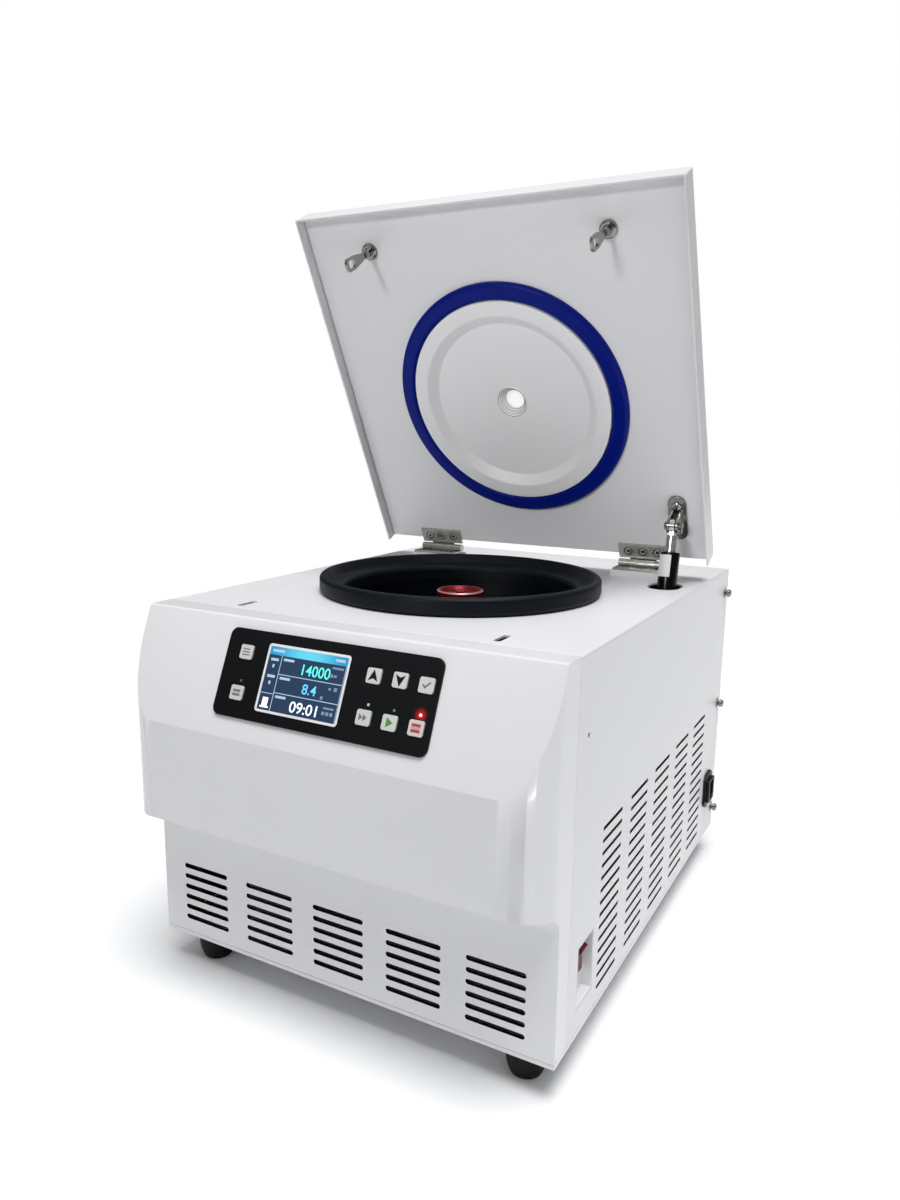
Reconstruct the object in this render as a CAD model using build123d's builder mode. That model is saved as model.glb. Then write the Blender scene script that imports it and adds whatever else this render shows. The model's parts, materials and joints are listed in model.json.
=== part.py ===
from build123d import *
from math import atan2, cos, degrees, hypot, radians, sin
import os

os.makedirs("parts", exist_ok=True)

# A refrigerated bench centrifuge with its lid raised, in millimetres.
# X runs to the right seen from the front, Y to the rear and Z up.
# The origin is at the middle of the overall footprint, on the bench.

# Cabinet sizes
cabinet_width = 440.0
cabinet_depth = 530.0  # rear panel to the seam behind the front moulding
body_height = 346.0  # lower edge of the panels to the top plate
foot_height = 34.0
tray_lip = 4.0
tray_floor = 2.0
tray_border = 16.0
tray_gap = 0.5  # dark line between the tray and the panels
tray_slot = (150.0, 8.0)
tray_slot_pitch = 24.0
tray_slot_rows = 7
panel_sheet = 1.5
top_sheet = 2.0
seam_gap = 0.6
rear_reach = 7.0  # fan guard behind the rear panel
touch_gap = 0.2  # between sheets that meet edge to edge

# Front moulding sizes
moulding_wall = 3.0
kick_reach = 24.5  # lower front face ahead of the seam
brow_reach = 26.5  # upper front edge ahead of the seam
bulge_reach = 71.0  # foremost face ahead of the seam
face_drop = 102.0  # height of the sloping control face
bulge_low = 145.6  # lower front edge of the bulge above the panel edge
underside_rise = 10.4  # how much the underside climbs towards the front
underside_radius = 21.0
bulge_corner = 39.0  # plan radius of the bulge's corners
edge_radius = 3.0

# Front air slots
front_slot_length = 57.0
front_slot_height = 5.0
front_slots_from_side = 27.5
front_slot_pitch_z = 11.4
front_slot_low = 16.5
front_slot_columns = 5
front_slot_rows = 6

# Side air slots
side_slot_length = 53.0
side_slot_height = 3.6
side_slots_from_rear = 80.5  # rear end of the last slots ahead of the rear panel
side_slots_behind_seam = 74.5  # front end of the first slots
side_slot_pitch_z = 12.05
side_slot_low = 14.5
side_slot_columns = 5
side_slot_rows = 14
rear_slot_pitch_x = 80.5

# Control panel, placed on the sloping face
bezel_width = 226.0
bezel_height = 81.5
bezel_side = 4.0  # its middle lies this far right of the cabinet's middle
bezel_top = 10.5  # from the upper front edge, down the slope
bezel_thickness = 2.4
bezel_radius = 8.0
screen_width = 89.0
screen_height = 61.5
screen_x = -16.5
screen_down = 51.3
screen_thickness = 6.0
key_width = 15.6
key_height = 14.6
key_radius = 2.2
key_thickness = 2.6
key_proud = 0.9  # above the bezel when not pressed
key_gap = 0.3
key_edge = 0.5
bezel_edge = 0.8
key_places = {
    "key_set": (-85.2, 32.0),
    "key_range": (-85.2, 69.5),
    "key_up": (53.5, 34.0),
    "key_down": (79.4, 34.0),
    "key_ok": (104.6, 34.4),
    "key_short": (52.2, 69.6),
    "key_start": (77.7, 69.7),
    "key_stop": (103.2, 69.8),
}

# Chamber sizes
chamber_ahead = 0.85  # ahead of the middle between the seam and the hinge pins
bowl_radius = 128.0
bowl_depth = 150.0
bowl_wall = 1.5
bowl_flange = 11.0
bowl_corner = 12.0
boot_radius = 30.0
coil_tube = 8.0
coil_turns = 5
coil_pitch = 22.0
foam_thickness = 28.0
foam_floor = 9.0
ring_wall = 4.0
ring_height = 110.0
gasket_reach = 24.6  # rubber rim beyond the inside of the bowl
gasket_height = 18.6
gasket_crown = 8.0
gasket_slope = (5.1, 9.6)  # band that the lid's seal closes on
gasket_lip = 10.0
gasket_overhang = 2.4  # inside the bowl's wall

# Hinge and lid sizes
pivot_from_rear = 112.3
pivot_height = 13.6  # above the top plate
opening_angle = 62.8
lid_overhang = 1.0  # beyond the cabinet on each side
lid_front_gap = 5.0  # closed front edge behind the moulding's upper edge
lid_back = 9.2  # rear edge of the lid ahead of the pivot
lid_depth = 28.5
lid_clear = 6.5  # closed edge above the top plate
lid_recess = 13.0  # lining behind the lid's edge
lid_wall = 2.0
lid_edge_radius = 3.0
liner_sheet = 1.5
disc_inset = 5.2  # disc rim inside the bowl's wall
disc_proud = 7.0  # disc rim ahead of the lining
disc_step = 16.8  # width of the raised rim
disc_fall = 11.0  # width of the slope down to its floor
disc_sink = 2.0  # disc floor behind the lining
disc_wall = 2.5
seal_gap = 0.4
seal_width = 19.0
seal_proud = 6.6
sight_radius = 19.0

hinge_from_side = 80.0
hinge_length = 60.0
hinge_middle = 33.0  # the middle knuckle
hinge_leaf = 25.0
hinge_sheet = 2.5
hinge_barrel = 4.9
hinge_pin_radius = 2.5
pin_running_gap = 0.05
hinge_offset = 5.9  # from the pin's axis to the face it screws to
hinge_screw_radius = 2.7
block_margin = 3.0

striker_from_side = 80.0
striker_behind_seam = 23.0
striker_length = 52.5
striker_flange_radius = 9.2
striker_flange = 5.0
striker_neck_radius = 4.5
striker_sheet = 3.0
striker_width = 14.0
striker_hole = (8.4, 11.5)
striker_hole_up = 9.9  # middle of its hole above the tip
slot_length = 26.0
slot_width = 7.0
bolt_size = (3.6, 8.0)
bolt_travel = 9.5
bolt_gap = 0.4

# Gas spring sizes
spring_from_side = 33.5
bracket_width = 21.5
bracket_length = 58.0
bracket_sheet = 3.0
bracket_near = 37.5  # bracket's rear end ahead of the pivot
spring_pin_ahead = 68.4  # pin ahead of the pivot, along the lid
spring_pin_down = 16.1  # pin below the pivot, across the lid
spring_pin_radius = 3.0
ear_sheet = 3.0
ear_radius = 8.0
eye_thickness = 6.0
eye_radius = 8.0
eye_gap = 0.6
fitting_length = 30.0  # pin to the cylinder's end
fitting_radius = 6.5
cylinder_radius = 11.0
cylinder_length = 125.0
rod_radius = 5.0
shank_length = 20.0  # flat end of the rod below its nut
rod_inside = 20.0  # rod left in the cylinder with the lid raised
spring_length = 273.3
spring_tilt = 10.54
spring_anchor_ahead = 100.0  # anchor ahead of the lid's pivot
spring_anchor_down = 200.0  # anchor below the top plate
cross_pin_radius = 3.0
anchor_slot = (18.0, 10.0)
well_width = 36.0  # hole in the top plate for the spring
well_length = 50.0
well_ahead = 65.0  # middle of the hole ahead of the pivot

# Right side fittings, placed from the seam or the rear and from the lower panel edge
pocket_behind_seam = 41.0
pocket_width = 39.0
pocket_height = 59.5
pocket_low = 23.0
pocket_depth = 10.0
pocket_sheet = 1.2
switch_width = 29.0
switch_height = 35.0
switch_drop = 3.0  # below the pocket's roof
switch_proud = 2.0
rocker_width = 21.0
rocker_height = 27.0
rocker_angle = 12.0
rocker_reach = (9.0, 6.4)  # its ends and its middle ahead of its axis
rocker_taper = 1.8
rocker_gap = 0.3
rocker_pin = 1.5
rocker_pin_gap = 0.08
inlet_from_rear = 46.0
inlet_up = 62.8
inlet_width = 34.0
inlet_height = 44.0
inlet_flange = 3.5
inlet_proud = 4.0
socket_width = 16.8
socket_height = 24.6
socket_depth = 16.0
release_behind_seam = 25.0
release_up = 274.0
release_radius = 2.5
side_screw_places = ((16.0, 317.0), (15.0, 170.5), (10.0, 24.0))
screw_reach = 8.0
washer_radius = 6.2

# Inner frame sizes
post_size = 20.0
post_sheet = 2.0
rail_size = 15.0
deck_below_top = 188.5
deck_sheet = 3.0

# Drive sizes
motor_radius = 58.0
motor_height = 108.0
damper_radius = 12.0
damper_height = 18.0
damper_ring = 78.0
flange_sheet = 6.0
flange_lip = 8.0
motor_fins = 18
motor_fin_slot = (6.0, 3.0)
shaft_radius = 9.0
shaft_taper = 2.0
shaft_seat = 30.0
shaft_collar = (5.0, 4.0)
rotor_radius = 95.0
rotor_height = 70.0
rotor_foot = 62.0
rotor_cone = 34.0
rotor_rim = 9.0
rotor_rim_step = (2.0, 6.0)
rotor_hub = (26.0, 22.0)
rotor_hub_height = 60.0
hub_bore = 8.0
well_margin = (12.0, 14.0)  # of the slanted face inside and outside the wells
well_reach = 6.0
rotor_lift = 28.0  # rotor above the bowl's floor
well_count = 12
tube_radius = 5.6
tube_depth = 38.0
tube_angle = 45.0
tube_mouth = (52.0, 50.0)
cover_radius = 83.5
cover_sheet = 4.0
cover_rise = 8.0
cover_rim = (10.0, 3.5)
cover_hub = 20.0
knob_radius = 25.5
knob_height = 30.0
knob_stem = 12.0  # stem in the hub's bore
knob_collar = 14.0
knob_skirt = (6.0, 12.0)
knob_dish = (3.0, 6.0, 4.0)
knob_nut = (5.0, 1.5)
knob_flutes = 12
knob_flute = 3.2
knob_flute_out = 2.2
running_gap = 0.3

# Cooling sizes
fan_x = -95.0
fan_up = 100.0
fan_radius = 60.0
fan_hub = 20.0
fan_blades = 7
fan_depth = 20.0
fan_clearance = 3.0
shroud_depth = 32.0
condenser_size = (170.0, 36.0, 150.0)
condenser_fins = 16
condenser_frame = 10.0
compressor_radius = 52.0
compressor_height = 128.0
compressor_shoulder = 24.0
compressor_x = 85.0
compressor_from_rear = 78.0
compressor_lift = 12.0
compressor_foot = 8.0
line_radius = 3.2
line_bend = 12.0
line_rise = 19.0
line_drop = 40.0
drier_gap = 24.0  # from the condenser to the drier's axis
drier_radius = 10.0
drier_length = 62.0
drier_taper = 10.0

# Circuit board sizes
wall_board_size = (230.0, 120.0)
wall_board_up = 72.0
wall_board_gap = 26.0
board_sheet = 1.6
board_edge = 9.0
# Feet
foot_top_radius = 19.0
foot_sole_radius = 14.5
foot_inset_x = 38.6
foot_inset_y = 32.0

# Places worked out from the sizes
overall_depth = rear_reach + cabinet_depth + bulge_reach
rear_y = overall_depth / 2 - rear_reach
seam_y = rear_y - cabinet_depth
kick_y = seam_y - kick_reach
brow_y = seam_y - brow_reach
bulge_y = seam_y - bulge_reach
half_width = cabinet_width / 2
tray_top = foot_height + tray_lip
base_z = tray_top + tray_gap
top_z = base_z + body_height
under_top = top_z - top_sheet
inner_x = half_width - panel_sheet
bowl_floor = top_z - bowl_depth
deck_z = top_z - deck_below_top
rotor_z = bowl_floor + rotor_lift
pivot_y = rear_y - pivot_from_rear
pivot_z = top_z + pivot_height
chamber_y = (seam_y + pivot_y) / 2 - chamber_ahead
gasket_radius = bowl_radius + gasket_reach
disc_radius = bowl_radius - disc_inset
disc_step_radius = disc_radius - disc_step
disc_floor_radius = disc_step_radius - disc_fall
seal_inner = disc_radius + seal_gap
hinge_spacing = 2 * (half_width - hinge_from_side)
striker_spacing = 2 * (half_width - striker_from_side)
spring_x = half_width - spring_from_side
front_slots_reach = cabinet_width - 2 * front_slots_from_side
front_slot_pitch_x = (front_slots_reach - front_slot_length) / (front_slot_columns - 1)
side_slots_reach = cabinet_depth - side_slots_from_rear - side_slots_behind_seam
side_slot_pitch_y = (side_slots_reach - side_slot_length) / (side_slot_columns - 1)


def standing(base, x, y, z=0.0):
    """A plane through a point of the base plane, with the base's normal pointing up on it."""
    return Plane(origin=base.from_local_coords((x, y, z)), x_dir=base.x_dir, z_dir=-base.y_dir)


def upright_axis(plane):
    return Axis(plane.origin, plane.y_dir)


def side_view(x):
    """A plane across the width, local x to the rear and local y up."""
    return Plane(origin=(x, 0, 0), x_dir=(0, 1, 0), z_dir=(1, 0, 0))


def corner_at(sketch, x, y):
    """The sketch corner nearest to a point of its own plane."""
    return sketch.vertices().sort_by_distance((x, y, 0))[0]


def save(part, name):
    part.label = name
    export_step(part, f"parts/{name}.step")


# Reference planes
chamber_section = standing(Plane.XY, 0, chamber_y)
chamber_axis = upright_axis(chamber_section)
slope = atan2(face_drop, bulge_reach - brow_reach)
face_plane = Plane(origin=(0, brow_y, top_z), x_dir=(1, 0, 0), z_dir=(0, -sin(slope), cos(slope)))
lid_angle = radians(opening_angle)
lid_plane = Plane(
    origin=(0, pivot_y, pivot_z), x_dir=(1, 0, 0), z_dir=(0, sin(lid_angle), cos(lid_angle))
)
lid_edge_z = lid_clear - pivot_height
liner_z = lid_edge_z + lid_recess
lid_top_z = lid_edge_z + lid_depth
lid_half = half_width + lid_overhang
lid_length = pivot_y - lid_back - brow_y - lid_front_gap
lid_front = -lid_back - lid_length
lid_mid = -lid_back - lid_length / 2
disc_y = chamber_y - pivot_y


# Base tray with its raised border and floor slots
tray_mid = (kick_y + rear_y) / 2
tray_depth = rear_y - kick_y
with BuildPart() as base_tray:
    with BuildSketch(Plane.XY.offset(foot_height)):
        with Locations((0, tray_mid)):
            Rectangle(cabinet_width, tray_depth)
    extrude(amount=tray_lip)
    with BuildSketch(Plane.XY.offset(foot_height + tray_floor)):
        with Locations((0, tray_mid)):
            Rectangle(cabinet_width - 2 * tray_border, tray_depth - 2 * tray_border)
    extrude(amount=tray_lip, mode=Mode.SUBTRACT)
    with BuildSketch(Plane.XY.offset(foot_height)):
        with Locations((0, tray_mid)):
            with GridLocations(0, tray_slot_pitch, 1, tray_slot_rows):
                SlotOverall(*tray_slot)
    extrude(amount=tray_floor, mode=Mode.SUBTRACT)
save(base_tray.part, "base_tray")


# Rubber feet with a hollow sole
foot_places = [
    (side * (half_width - foot_inset_x), y)
    for side in (-1, 1)
    for y in (kick_y + foot_inset_y, rear_y - foot_inset_y)
]
with BuildPart() as feet:
    for x, y in foot_places:
        with BuildSketch(standing(Plane.XY, x, y)) as foot_profile:
            with BuildLine():
                Line((0, foot_height), (foot_top_radius, foot_height))
                Line((foot_top_radius, foot_height), (foot_top_radius, foot_height * 0.62))
                ThreePointArc(
                    (foot_top_radius, foot_height * 0.62),
                    (foot_top_radius - 1.2, foot_height * 0.25),
                    (foot_sole_radius, 0),
                )
                Line((foot_sole_radius, 0), (foot_sole_radius - 5, 0))
                Line((foot_sole_radius - 5, 0), (foot_sole_radius - 7, 6))
                Line((foot_sole_radius - 7, 6), (0, 6))
                Line((0, 6), (0, foot_height))
            make_face()
        revolve(axis=upright_axis(standing(Plane.XY, x, y)))
save(feet.part, "feet")


# Welded inner frame: corner posts, rails and the motor deck
post_bottom = tray_top
rail_top = deck_z
with BuildPart() as chassis_frame:
    for side in (-1, 1):
        for y, ahead in ((seam_y + seam_gap, 1), (rear_y - panel_sheet, -1)):
            with BuildSketch(Plane.XY.offset(post_bottom)):
                with BuildLine():
                    Polyline(
                        (side * inner_x, y),
                        (side * inner_x, y + ahead * post_size),
                        (side * (inner_x - post_sheet), y + ahead * post_size),
                        (side * (inner_x - post_sheet), y + ahead * post_sheet),
                        (side * (inner_x - post_size), y + ahead * post_sheet),
                        (side * (inner_x - post_size), y),
                        close=True,
                    )
                make_face()
            extrude(amount=under_top - post_bottom)
        for top in (under_top, rail_top):
            with BuildSketch(Plane.XY.offset(top - rail_size)):
                with Locations((side * (inner_x - rail_size / 2), (seam_y + rear_y) / 2)):
                    Rectangle(rail_size, cabinet_depth - 2 * (seam_gap + post_sheet))
            extrude(amount=rail_size)
    for y in (seam_y + seam_gap + post_sheet / 2, rear_y - panel_sheet - post_sheet / 2):
        with BuildSketch(Plane.XY.offset(under_top - 2 * rail_size)):
            with Locations((0, y)):
                Rectangle(2 * inner_x, post_sheet)
        extrude(amount=2 * rail_size)
    with BuildSketch(Plane.XY.offset(rail_top)):
        with Locations((0, chamber_y)):
            Rectangle(2 * inner_x, 2 * (motor_radius + damper_ring))
            Circle(motor_radius + 6, mode=Mode.SUBTRACT)
        with Locations((inner_x - rail_size, pivot_y - spring_anchor_ahead)):
            Rectangle(4 * rail_size, 4 * rail_size, mode=Mode.SUBTRACT)
    extrude(amount=deck_sheet)
save(chassis_frame.part, "chassis_frame")


# Front moulding: sloping face, bulge, underside and kick panel
underside_slope = underside_rise / (bulge_reach - kick_reach)


def moulding_block(inset):
    """The moulding as a solid block, shrunk inwards by a wall."""
    under_z = base_z + bulge_low + inset * (hypot(1, underside_slope) - underside_slope)
    under_back = under_z - underside_rise
    low_z = base_z - (1 if inset else 0)
    back_y = seam_y + (1 if inset else 0)
    with BuildPart() as block:
        with BuildSketch(side_view(0)) as profile:
            with BuildLine():
                Polyline(
                    (back_y, low_z),
                    (kick_y + inset, low_z),
                    (kick_y + inset, under_back),
                    (bulge_y + inset, under_z),
                    (bulge_y + inset, top_z - face_drop - inset * (1 - sin(slope)) / cos(slope)),
                    (brow_y + inset * (1 - cos(slope)) / sin(slope), top_z - inset),
                    (back_y, top_z - inset),
                    close=True,
                )
            make_face()
            fillet(corner_at(profile, kick_y + inset, under_back), underside_radius + inset)
            if inset == 0:
                fillet(corner_at(profile, bulge_y, under_z), edge_radius)
                fillet(corner_at(profile, bulge_y, top_z - face_drop), edge_radius)
                fillet(corner_at(profile, brow_y, top_z), edge_radius)
        extrude(amount=half_width - inset, both=True)
        with BuildSketch(Plane.XY.offset(base_z - 2)) as plan:
            with Locations((0, (seam_y + 2 + bulge_y + inset) / 2)):
                Rectangle(2 * (half_width - inset), seam_y + 2 - bulge_y - inset)
            fillet(plan.vertices().group_by(Axis.Y)[0], bulge_corner - inset)
        extrude(amount=body_height + 4, mode=Mode.INTERSECT)
    return block.part


with BuildPart() as front_fascia:
    add(moulding_block(0))
    add(moulding_block(moulding_wall), mode=Mode.SUBTRACT)
    front_slots_z = base_z + front_slot_low + front_slot_pitch_z * (front_slot_rows - 1) / 2
    with BuildSketch(Plane(origin=(0, kick_y, front_slots_z), x_dir=(1, 0, 0), z_dir=(0, -1, 0))):
        with GridLocations(
            front_slot_pitch_x, front_slot_pitch_z, front_slot_columns, front_slot_rows
        ):
            SlotOverall(front_slot_length, front_slot_height)
    extrude(amount=-moulding_wall, mode=Mode.SUBTRACT)
    with BuildSketch(face_plane):
        with Locations((bezel_side, -bezel_top - bezel_height / 2)):
            RectangleRounded(bezel_width - 10, bezel_height - 10, bezel_radius)
    extrude(amount=-moulding_wall, mode=Mode.SUBTRACT)
save(front_fascia.part, "front_fascia")


# Top plate with the chamber opening, two lock slots and the spring's hole
striker_y = seam_y + striker_behind_seam
well_y = pivot_y - well_ahead
plate_front = seam_y + seam_gap
with BuildPart() as top_plate:
    with BuildSketch(Plane.XY.offset(under_top)):
        with Locations((0, (plate_front + rear_y) / 2)):
            Rectangle(cabinet_width, rear_y - plate_front)
        with Locations((0, chamber_y)):
            Circle(bowl_radius + bowl_wall + touch_gap, mode=Mode.SUBTRACT)
        with Locations((-striker_spacing / 2, striker_y), (striker_spacing / 2, striker_y)):
            SlotOverall(slot_length, slot_width, rotation=90, mode=Mode.SUBTRACT)
        with Locations((spring_x, well_y)):
            SlotOverall(well_length, well_width, rotation=90, mode=Mode.SUBTRACT)
    extrude(amount=top_sheet)
    rim = top_plate.faces().sort_by(Axis.Z)[-1].outer_wire().edges()
    fillet(rim, top_sheet * 0.6)
save(top_plate.part, "top_plate")


# Side panels with their air slots
panel_low = base_z
panel_high = under_top - touch_gap
panel_middle_y = (plate_front + rear_y) / 2
slots_mid_z = base_z + side_slot_low + side_slot_pitch_z * (side_slot_rows - 1) / 2
pocket_y = seam_y + pocket_behind_seam
slots_mid_y = rear_y - side_slots_from_rear - side_slots_reach / 2
release_y = seam_y + release_behind_seam
pocket_z = base_z + pocket_low + pocket_height / 2
inlet_y = rear_y - inlet_from_rear
inlet_z = base_z + inlet_up


def panel_view(side):
    """The inner face of a side panel, seen from outside, local y up."""
    return Plane(origin=(side * inner_x, 0, 0), x_dir=(0, side, 0), z_dir=(side, 0, 0))


for side, side_name in ((-1, "left_side_panel"), (1, "right_side_panel")):
    with BuildPart() as side_panel:
        with BuildSketch(panel_view(side)):
            with Locations((side * panel_middle_y, (panel_low + panel_high) / 2)):
                Rectangle(rear_y - plate_front, panel_high - panel_low)
            with Locations((side * slots_mid_y, slots_mid_z)):
                with GridLocations(
                    side_slot_pitch_y, side_slot_pitch_z, side_slot_columns, side_slot_rows
                ):
                    Rectangle(side_slot_length, side_slot_height, mode=Mode.SUBTRACT)
            if side > 0:
                with Locations((pocket_y, pocket_z)):
                    Rectangle(pocket_width, pocket_height, mode=Mode.SUBTRACT)
                with Locations((inlet_y, inlet_z)):
                    Rectangle(inlet_width - 4, inlet_height - 14, mode=Mode.SUBTRACT)
                with Locations((release_y, base_z + release_up)):
                    Circle(release_radius, mode=Mode.SUBTRACT)
        extrude(amount=panel_sheet)
    save(side_panel.part, side_name)


# Rear panel with the fan opening and air slots
fan_z = base_z + fan_up
rear_view = Plane(origin=(0, rear_y, 0), x_dir=(-1, 0, 0), z_dir=(0, 1, 0))
with BuildPart() as rear_panel:
    with BuildSketch(rear_view):
        with Locations((0, (panel_low + panel_high) / 2)):
            Rectangle(2 * (inner_x - touch_gap), panel_high - panel_low)
        with Locations((-fan_x, fan_z)):
            Circle(fan_radius + fan_clearance, mode=Mode.SUBTRACT)
        with Locations((-compressor_x, fan_z)):
            with GridLocations(rear_slot_pitch_x, side_slot_pitch_z, 2, 9):
                Rectangle(side_slot_length, side_slot_height, mode=Mode.SUBTRACT)
    extrude(amount=-panel_sheet)
save(rear_panel.part, "rear_panel")


# Rear fan guard: rings on spokes with four screw ears
guard_wire = 2.5
with BuildPart() as rear_fan_guard:
    with BuildSketch(rear_view.offset(rear_reach - guard_wire)):
        with Locations((-fan_x, fan_z)):
            for k in range(3):
                ring_radius = fan_radius - k * 17
                Circle(ring_radius)
                Circle(ring_radius - guard_wire, mode=Mode.SUBTRACT)
            for angle in (45, 135):
                Rectangle(2 * fan_radius + 16, guard_wire, rotation=angle)
            Circle(10)
    extrude(amount=guard_wire)
    with BuildSketch(rear_view):
        with Locations((-fan_x, fan_z)):
            with PolarLocations(fan_radius + 8, 4, start_angle=45):
                Circle(5)
    extrude(amount=rear_reach)
save(rear_fan_guard.part, "rear_fan_guard")


# Pan screws with their washers on both side panels
with BuildPart() as panel_screws:
    for side in (-1, 1):
        for from_rear, up in side_screw_places:
            screw_section = Plane(
                origin=(side * half_width, rear_y - from_rear, base_z + up),
                x_dir=(0, 0, 1),
                z_dir=(0, side, 0),
            )
            with BuildSketch(screw_section):
                with BuildLine():
                    Polyline(
                        (0, screw_reach),
                        (0, 0),
                        (washer_radius, 0),
                        (washer_radius, 1.2),
                        (3.2, 1.2),
                        (3.2, screw_reach * 0.45),
                        (4.8, screw_reach * 0.45),
                        (4.8, screw_reach * 0.8),
                        (3.4, screw_reach),
                        close=True,
                    )
                make_face()
            revolve(axis=upright_axis(screw_section))
save(panel_screws.part, "panel_screws")


# Stainless chamber bowl with a turned rim
with BuildPart() as chamber_bowl:
    with BuildSketch(chamber_section) as bowl_profile:
        with BuildLine():
            Polyline(
                (boot_radius, bowl_floor),
                (bowl_radius, bowl_floor),
                (bowl_radius, top_z + bowl_wall),
                (bowl_radius + bowl_flange, top_z + bowl_wall),
                (bowl_radius + bowl_flange, top_z),
                (bowl_radius + bowl_wall, top_z),
                (bowl_radius + bowl_wall, bowl_floor - bowl_wall),
                (boot_radius, bowl_floor - bowl_wall),
                close=True,
            )
        make_face()
        fillet(corner_at(bowl_profile, bowl_radius, bowl_floor), bowl_corner)
        fillet(
            corner_at(bowl_profile, bowl_radius + bowl_wall, bowl_floor - bowl_wall),
            bowl_corner + bowl_wall,
        )
    revolve(axis=chamber_axis)
save(chamber_bowl.part, "chamber_bowl")


# Evaporator tube wound round the bowl, as flattened turns
bowl_outer = bowl_radius + bowl_wall
coil_low = bowl_floor + 24
with BuildPart() as evaporator_coil:
    for turn in range(coil_turns):
        with BuildSketch(chamber_section) as turn_section:
            with Locations((bowl_outer + touch_gap + coil_tube / 2, coil_low + turn * coil_pitch)):
                RegularPolygon(coil_tube / 2, 6, major_radius=False, rotation=30)
        revolve(axis=chamber_axis)
save(evaporator_coil.part, "evaporator_coil")


# Foam round the bowl and the steel ring that guards it
foam_inner = bowl_outer + coil_tube + 3 * touch_gap + 1
foam_outer = foam_inner + foam_thickness
foam_low = bowl_floor - bowl_wall - foam_floor
foam_high = under_top - 6
with BuildPart() as chamber_insulation:
    with BuildSketch(chamber_section):
        with BuildLine():
            Polyline(
                (boot_radius + 10, foam_low),
                (foam_outer, foam_low),
                (foam_outer, foam_high),
                (foam_inner, foam_high),
                (foam_inner, bowl_floor - bowl_wall - touch_gap),
                (boot_radius + 10, bowl_floor - bowl_wall - touch_gap),
                close=True,
            )
        make_face()
    revolve(axis=chamber_axis)
save(chamber_insulation.part, "chamber_insulation")

with BuildPart() as armour_ring:
    with BuildSketch(Plane.XY.offset(foam_low + 20)):
        with Locations((0, chamber_y)):
            Circle(foam_outer + touch_gap + ring_wall)
            Circle(foam_outer + touch_gap, mode=Mode.SUBTRACT)
    extrude(amount=ring_height)
save(armour_ring.part, "armour_ring")


# Rubber rim over the bowl's edge
with BuildPart() as chamber_gasket:
    with BuildSketch(chamber_section) as rim_profile:
        inner = bowl_radius - gasket_overhang
        crown_inner = gasket_radius - gasket_crown
        crown_z = top_z + gasket_height
        seat = bowl_radius + bowl_flange + touch_gap
        with BuildLine():
            Polyline(
                (inner, top_z - gasket_lip),
                (bowl_radius - touch_gap, top_z - gasket_lip),
                (bowl_radius - touch_gap, top_z + bowl_wall + touch_gap),
                (seat, top_z + bowl_wall + touch_gap),
                (seat, top_z),
                (gasket_radius - 3, top_z),
                (gasket_radius, top_z + 4),
                (gasket_radius, crown_z),
                (crown_inner, crown_z),
                (crown_inner - gasket_slope[0], crown_z - gasket_slope[1]),
                (inner + 1.5, top_z + 6),
                (inner, top_z + 2),
                close=True,
            )
        make_face()
        fillet(corner_at(rim_profile, gasket_radius, crown_z), 4.5)
        fillet(corner_at(rim_profile, crown_inner, crown_z), 2.5)
        fillet(corner_at(rim_profile, crown_inner - gasket_slope[0], crown_z - gasket_slope[1]), 2.5)
    revolve(axis=chamber_axis)
save(chamber_gasket.part, "chamber_gasket")


# Drive motor hung from three rubber dampers
motor_top = deck_z + deck_sheet + damper_height
with BuildPart() as motor_dampers:
    with BuildSketch(Plane.XY.offset(deck_z + deck_sheet)):
        with Locations((0, chamber_y)):
            with PolarLocations(damper_ring, 3, start_angle=90):
                Circle(damper_radius)
    extrude(amount=damper_height)
save(motor_dampers.part, "motor_dampers")

with BuildPart() as drive_motor:
    with BuildSketch(Plane.XY.offset(motor_top)):
        with Locations((0, chamber_y)):
            Circle(motor_radius + flange_lip)
            with PolarLocations(damper_ring, 3, start_angle=90):
                Circle(damper_radius)
            with PolarLocations(damper_ring / 2, 3, start_angle=90):
                Rectangle(damper_ring, 2 * damper_radius)
            Circle(shaft_radius + running_gap, mode=Mode.SUBTRACT)
    extrude(amount=flange_sheet)
    with BuildSketch(Plane.XY.offset(motor_top)):
        with Locations((0, chamber_y)):
            Circle(motor_radius)
            with PolarLocations(motor_radius, motor_fins):
                Rectangle(*motor_fin_slot, mode=Mode.SUBTRACT)
    extrude(amount=-motor_height)
save(drive_motor.part, "drive_motor")


# Spindle with the cone that carries the rotor
spindle_low = motor_top + touch_gap
with BuildPart() as spindle:
    with BuildSketch(chamber_section):
        with BuildLine():
            Polyline(
                (0, spindle_low),
                (shaft_radius, spindle_low),
                (shaft_radius, rotor_z - shaft_collar[1]),
                (shaft_radius + shaft_collar[0], rotor_z - shaft_collar[1]),
                (shaft_radius + shaft_collar[0], rotor_z),
                (shaft_radius, rotor_z),
                (shaft_radius - shaft_taper, rotor_z + shaft_seat),
                (0, rotor_z + shaft_seat),
                close=True,
            )
        make_face()
    revolve(axis=chamber_axis)
save(spindle.part, "spindle")


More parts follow.
